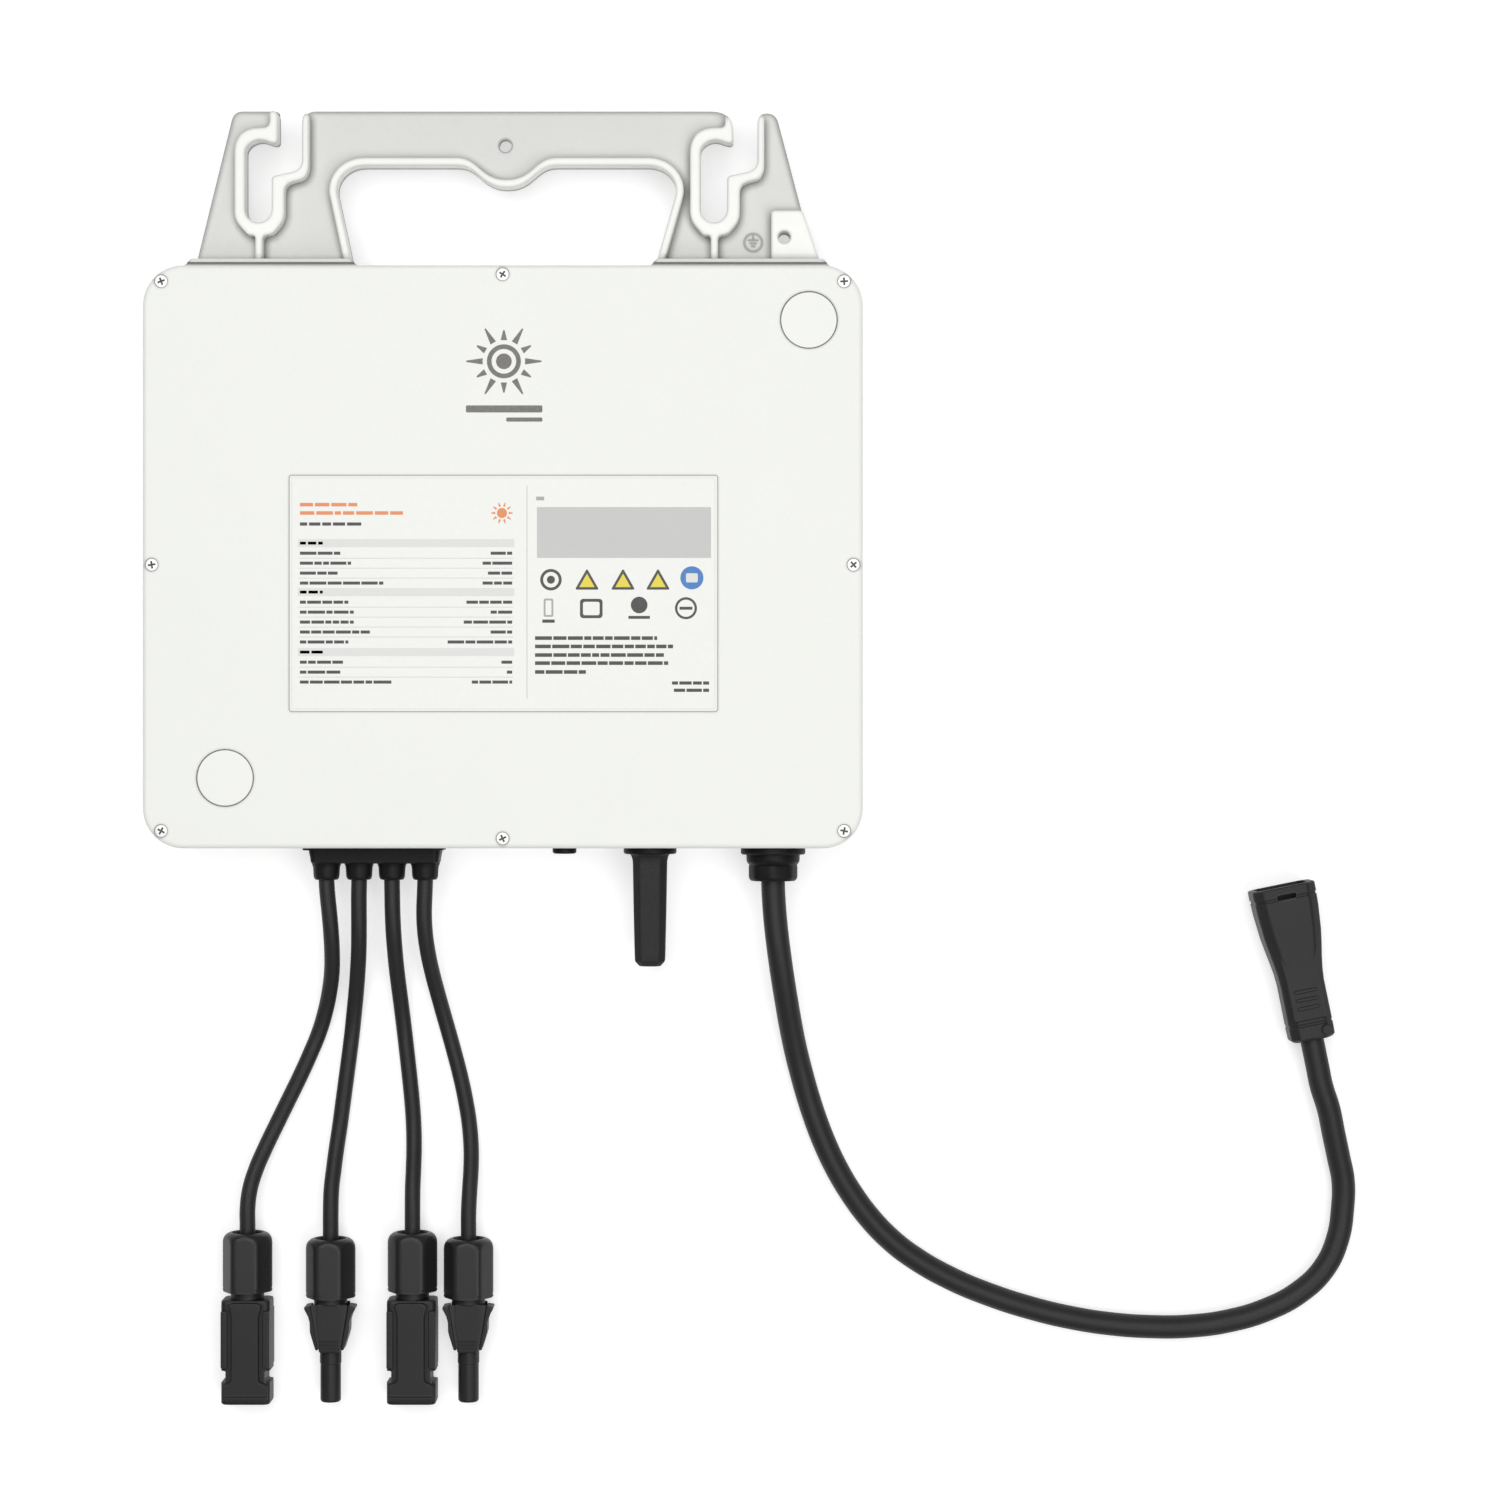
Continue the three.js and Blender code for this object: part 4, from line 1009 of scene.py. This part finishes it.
def add_nut(number):
    end = nut_end(number) / MM
    shape = lathe([
        (6.2, 0), (6.7, 0), (7.15, -0.15), (7.8, -0.5), (8.4, -1.0), (8.9, -1.7), (9.25, -2.6),
        (9.45, -3.8), (9.45, -20.4), (9.3, -20.9), (9.2, -21.1), (9.45, -21.4), (9.45, -22.0),
        (9.1, -22.4), (7.4, -22.4), (7.1, -22.0), (7.1, -4), (4, -4), (4, -3.1),
        (5.2, -3), (5.6, -0.9), (5.8, -0.3), (6.2, 0),
    ], tuple(end), segments=72, section=nut_section)
    return piece(f"nut_{number}", shape, "satin", f"nut_{number}", [f"coupling_nut_{number}"])


def add_socket(number):
    end = tuple(nut_end(number) / MM)
    nose = -64.6

    def ring(half, height, y, soften=2.4):
        corners = rectangle(-half, half, -height, height)
        return [Vector((u, y, v)) + Vector(end) for u, v in rounded(corners, soften, 5)]

    body = loft([
        ring(8.7, 6.1, -25.1), ring(9.1, 6.45, -25.3), ring(9.25, 6.65, -25.8), ring(9.3, 6.7, -26.5),
        ring(9.3, 6.7, nose + 0.9), ring(9.1, 6.5, nose + 0.3), ring(8.7, 6.1, nose),
    ])
    neck = lathe([(0, -7), (6.0, -7), (6.3, -7.4), (6.3, -26), (0, -26)], end, segments=40)
    panel_outline = rounded([
        (-8.6, nose + 1.6), (8.6, nose + 1.6), (8.6, nose + 7.6), (5.2, nose + 9), (5.2, -31), (6.4, -27),
        (4.8, -25.9), (-4.8, -25.9), (-6.4, -27), (-5.2, -31), (-5.2, nose + 9), (-8.6, nose + 7.6),
    ], 0.9, 3)
    panel = slab(panel_outline, round_both(-7.8, 7.8, 0.6, 3), at=end)
    rails = [
        slab(rounded(rectangle(*sorted((s * 6.7, s * 9.2)), -50.8, -29), 0.6, 3),
             round_both(-7.3, 7.3, 0.35, 3), at=end)
        for s in (-1, 1)
    ]
    notches = [
        slab(rounded(rectangle(*sorted((s * 7.4, s * 11)), -56.3, -51.7), 0.5, 3), [(0, -9), (0, 9)], at=end)
        for s in (-1, 1)
    ]
    bore = lathe([
        (0, nose + 30), (1.8, nose + 30), (1.8, nose + 24), (4.3, nose + 24), (4.3, nose + 0.6),
        (4.9, nose - 0.1), (0, nose - 0.1),
    ], end, segments=40)
    groove = slab(rectangle(-9.8, 9.8, nose + 3, nose + 3.5), [(0, 7.3), (0, 9)], at=end)
    shape = combined(body, [neck, panel, *rails], [*notches, bore, groove])
    return piece(f"socket_{number}", shape, "moulding", stands_for=[f"socket_body_{number}"])


def add_plug(number):
    end = tuple(nut_end(number) / MM)
    core_points = [(-4, -42.9), (4, -42.9), (4.1, -38.6), (5, -32.6), (5, -24.2), (-5, -24.2),
                   (-5, -32.6), (-4.1, -38.6)]
    core = slab(rounded(core_points, 1.1, 4), round_both(-5.4, 5.4, 0.7, 4), at=end)
    neck = lathe([(0, -7), (6.0, -7), (6.3, -7.4), (6.3, -24.5), (6.0, -24.8), (0, -24.8)], end, segments=40)
    guard_points = [(-4.4, -41.4), (4.4, -41.4), (6.9, -26), (6.9, -24.6), (-6.9, -24.6), (-6.9, -26)]
    guards = [
        slab(rounded(guard_points, 0.6, 3), [(0.2, -5.3), (0, -5.1), (0, -4.75)], at=end),
        slab(rounded(guard_points, 0.6, 3), [(0, 4.75), (0, 5.1), (0.2, 5.3)], at=end),
    ]
    soft = many_sided(8, 12, math.pi / 8)
    nose = lathe([
        (0, -40), (4.1, -40), (4.1, -47.2), (3.85, -47.6), (3.9, -48), (3.9, -61.2), (3.7, -61.7),
        (3.4, -62), (2.75, -62), (2.6, -61.7), (2.6, -43), (0, -43),
    ], end, segments=48, section=lambda angle, radius, distance: radius * (soft(angle) if radius > 3 else 1))
    steps = [
        slab(rectangle(-3.6, 3.6, y, y + 0.5), [(0.15, 5.2), (0, 5.35), (0, 5.5), (0.2, 5.7)], at=end)
        for y in (-41.6, -40.2, -38.8)
    ]
    shape = combined(core, [neck, *guards, nose, *steps])
    return piece(f"plug_{number}", shape, "moulding", stands_for=[f"plug_body_{number}"])


ARM = [
    (4.3, -42), (5.3, -42), (6.9, -36.9), (7.4, -35), (7.5, -31.4), (8.1, -29.2), (9.6, -26.4),
    (9.6, -25.6), (7.1, -25.2), (6.3, -29.4), (5.95, -32), (5.1, -36.6),
]


def add_arm(number, side, sign):
    end = tuple(nut_end(number) / MM)
    outline = [(sign * x, y) for x, y in rounded(ARM, 0.35, 3)]
    shape = slab(outline, round_both(-4.5, 4.5, 0.35, 3), at=end)
    name = f"{number}_{side}"
    return piece(f"barb_{name}", shape, "moulding", f"latch_{name}", [f"latch_arm_{name}"])


def dress(node, finish):
    """Gives a CAD node that is kept as it is its finish."""
    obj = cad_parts[node]
    obj.data.materials.clear()
    obj.data.materials.append(FINISHES[finish])
    return obj


def add_connector(number):
    """Returns everything on the lead: nut, ring, body, contact and arms."""
    parts = [add_nut(number), dress(f"clamp_ring_{number}", "rubber")]
    if KIND[number] == "socket":
        return parts + [add_socket(number), dress(f"contact_pin_{number}", "tin")]
    arms = [add_arm(number, side, sign) for side, sign in (("left", -1), ("right", 1))]
    return parts + [add_plug(number), dress(f"contact_sleeve_{number}", "tin"), *arms]


# ---------------------------------------------------------------- AC trunk connector
def add_ac_connector():
    length = 59.3
    place = Matrix.Translation(AC_BASE / MM) @ Matrix.Rotation(AC_ANGLE, 4, "Z")

    def ring(y, half, height, chamfer, soften=0.9):
        return [Vector((u, y, v)) for u, v in rounded(chamfered(half, height, chamfer), soften, 3)]

    shell = loft([
        ring(0, 6.8, 6.4, 2.4), ring(0.3, 7.6, 7.2, 2.7), ring(1.2, 8.4, 8.0, 3), ring(5.6, 8.5, 8.1, 3),
        ring(6, 8.25, 7.85, 2.9), ring(6.6, 8.25, 7.85, 2.9), ring(7, 8.45, 8.1, 3),
        ring(22, 8.4, 8.2, 3), ring(26.5, 8.75, 8.4, 3.1), ring(31, 9.4, 8.8, 3.2),
        ring(36, 10.25, 9.25, 3.3), ring(41, 11, 9.6, 3.4), ring(50, 11.75, 9.95, 3.4),
        ring(54.2, 11.9, 10, 3.4), ring(54.6, 11.6, 9.75, 3.3), ring(55.2, 11.6, 9.75, 3.3),
        ring(55.6, 12, 10, 3.4), ring(length - 0.5, 12, 10, 3.4), ring(length, 11.6, 9.6, 3.2),
    ])
    mouth = loft([
        ring(length - 24, 8, 6.5, 2, 0.5), ring(length - 11.5, 9.5, 7.5, 2, 0.5),
        ring(length - 0.6, 9.5, 7.5, 2, 0.5), ring(length + 1, 10.2, 8.2, 2.2, 0.5),
    ])
    window = slab(rounded(rectangle(-3.6, 3.6, length - 5, length - 2.8), 0.5, 3), [(0, 6), (0, 12)])
    step_outline = [
        (-6.4, 8), (6.4, 8), (6.4, 24), (8.3, 45), (8.3, 52), (-8.3, 52), (-8.3, 45), (-6.4, 24),
    ]
    step = slab(rounded(step_outline, 1.2, 4), [(0, 7), (0, 8.2), (0.4, 8.6)])
    ribs = [
        slab(rounded(rectangle(-4.4, 4.4, y, y + 1.5), 0.7, 3), [(0, 7.2), (0, 8.55), (0.35, 8.9)])
        for y in (12, 15.2, 18.4)
    ]
    lug = lathe([
        (0, 7.4), (1.9, 7.4), (2.1, 7.9), (2.1, 8.6), (1.7, 8.95), (0, 8.95),
    ], (5.3, 3.2, 0), "z", 24)
    shape = combined(shell, [step, *ribs, lug], [mouth, window])
    return piece("trunk_connector", shape, "moulding", stands_for=["ac_connector_shell"],
                 place=place, sharp=30)


# ---------------------------------------------------------------- everything
add_housing()
add_cover()
add_screws()
add_potting_plugs()
add_label()
add_emblem()
add_bracket()
add_earth_mark()
add_solar_gland()
add_ac_gland()
add_antenna()
add_lamp()

for n, lead in LEADS.items():
    add_connector(n)
add_ac_connector()
dress("ac_connector_insert", "rubber")

KEPT = {
    "cover_gasket": "rubber", "main_board": "board", "transformer_1": "ferrite",
    "transformer_2": "ferrite", "output_choke": "ferrite", "relay": "relay", "wifi_module": "tin",
    "input_capacitor_1": "relay", "input_capacitor_2": "relay", "potting_compound": "resin",
    **{f"bracket_screw_{i}": "steel" for i in BRACKET_SCREWS},
}
for node, finish in KEPT.items():
    dress(node, finish)


# ---------------------------------------------------------------- floor and light
def add_floor():
    """Plain paper just under the object, which glows a little so that it stays white."""
    shape = bmesh.new()
    bmesh.ops.create_grid(shape, x_segments=8, y_segments=8, size=4)
    mesh = bpy.data.meshes.new("floor")
    shape.to_mesh(mesh)
    shape.free()
    paper = surface("floor", grey(0.62), (0.8, 0.9), (200, 0.0), 0.0, gloss=0.1)
    shader = paper.node_tree.nodes["Principled BSDF"]
    shader.inputs["Emission Color"].default_value = (1, 1, 1, 1)
    shader.inputs["Emission Strength"].default_value = 0.5
    mesh.materials.append(paper)
    obj = bpy.data.objects.new("floor", mesh)
    obj.location.z = -0.0003
    bpy.context.scene.collection.objects.link(obj)


LIGHT_AIM = Vector((0.09, -0.07, 0))


def add_light(name, place, size, power):
    """A square soft box that points at the object."""
    light = bpy.data.lights.new(name, "AREA")
    light.shape = "SQUARE"
    light.size = size
    light.energy = power
    obj = bpy.data.objects.new(name, light)
    obj.location = place
    obj.rotation_euler = (LIGHT_AIM - Vector(place)).to_track_quat("-Z", "Y").to_euler()
    bpy.context.scene.collection.objects.link(obj)


def add_world(strength):
    world = bpy.data.worlds.new("studio")
    world.use_nodes = True
    background = world.node_tree.nodes["Background"]
    background.inputs["Color"].default_value = (1, 1, 1, 1)
    background.inputs["Strength"].default_value = strength
    bpy.context.scene.world = world


add_floor()
add_world(0.26)
add_light("overhead", (-0.15, 0.35, 1.9), 1.5, 27)
add_light("fill", (0.9, -0.8, 1.9), 1.2, 15)
bpy.context.scene.view_settings.view_transform = "Standard"

bpy.context.view_layer.update()
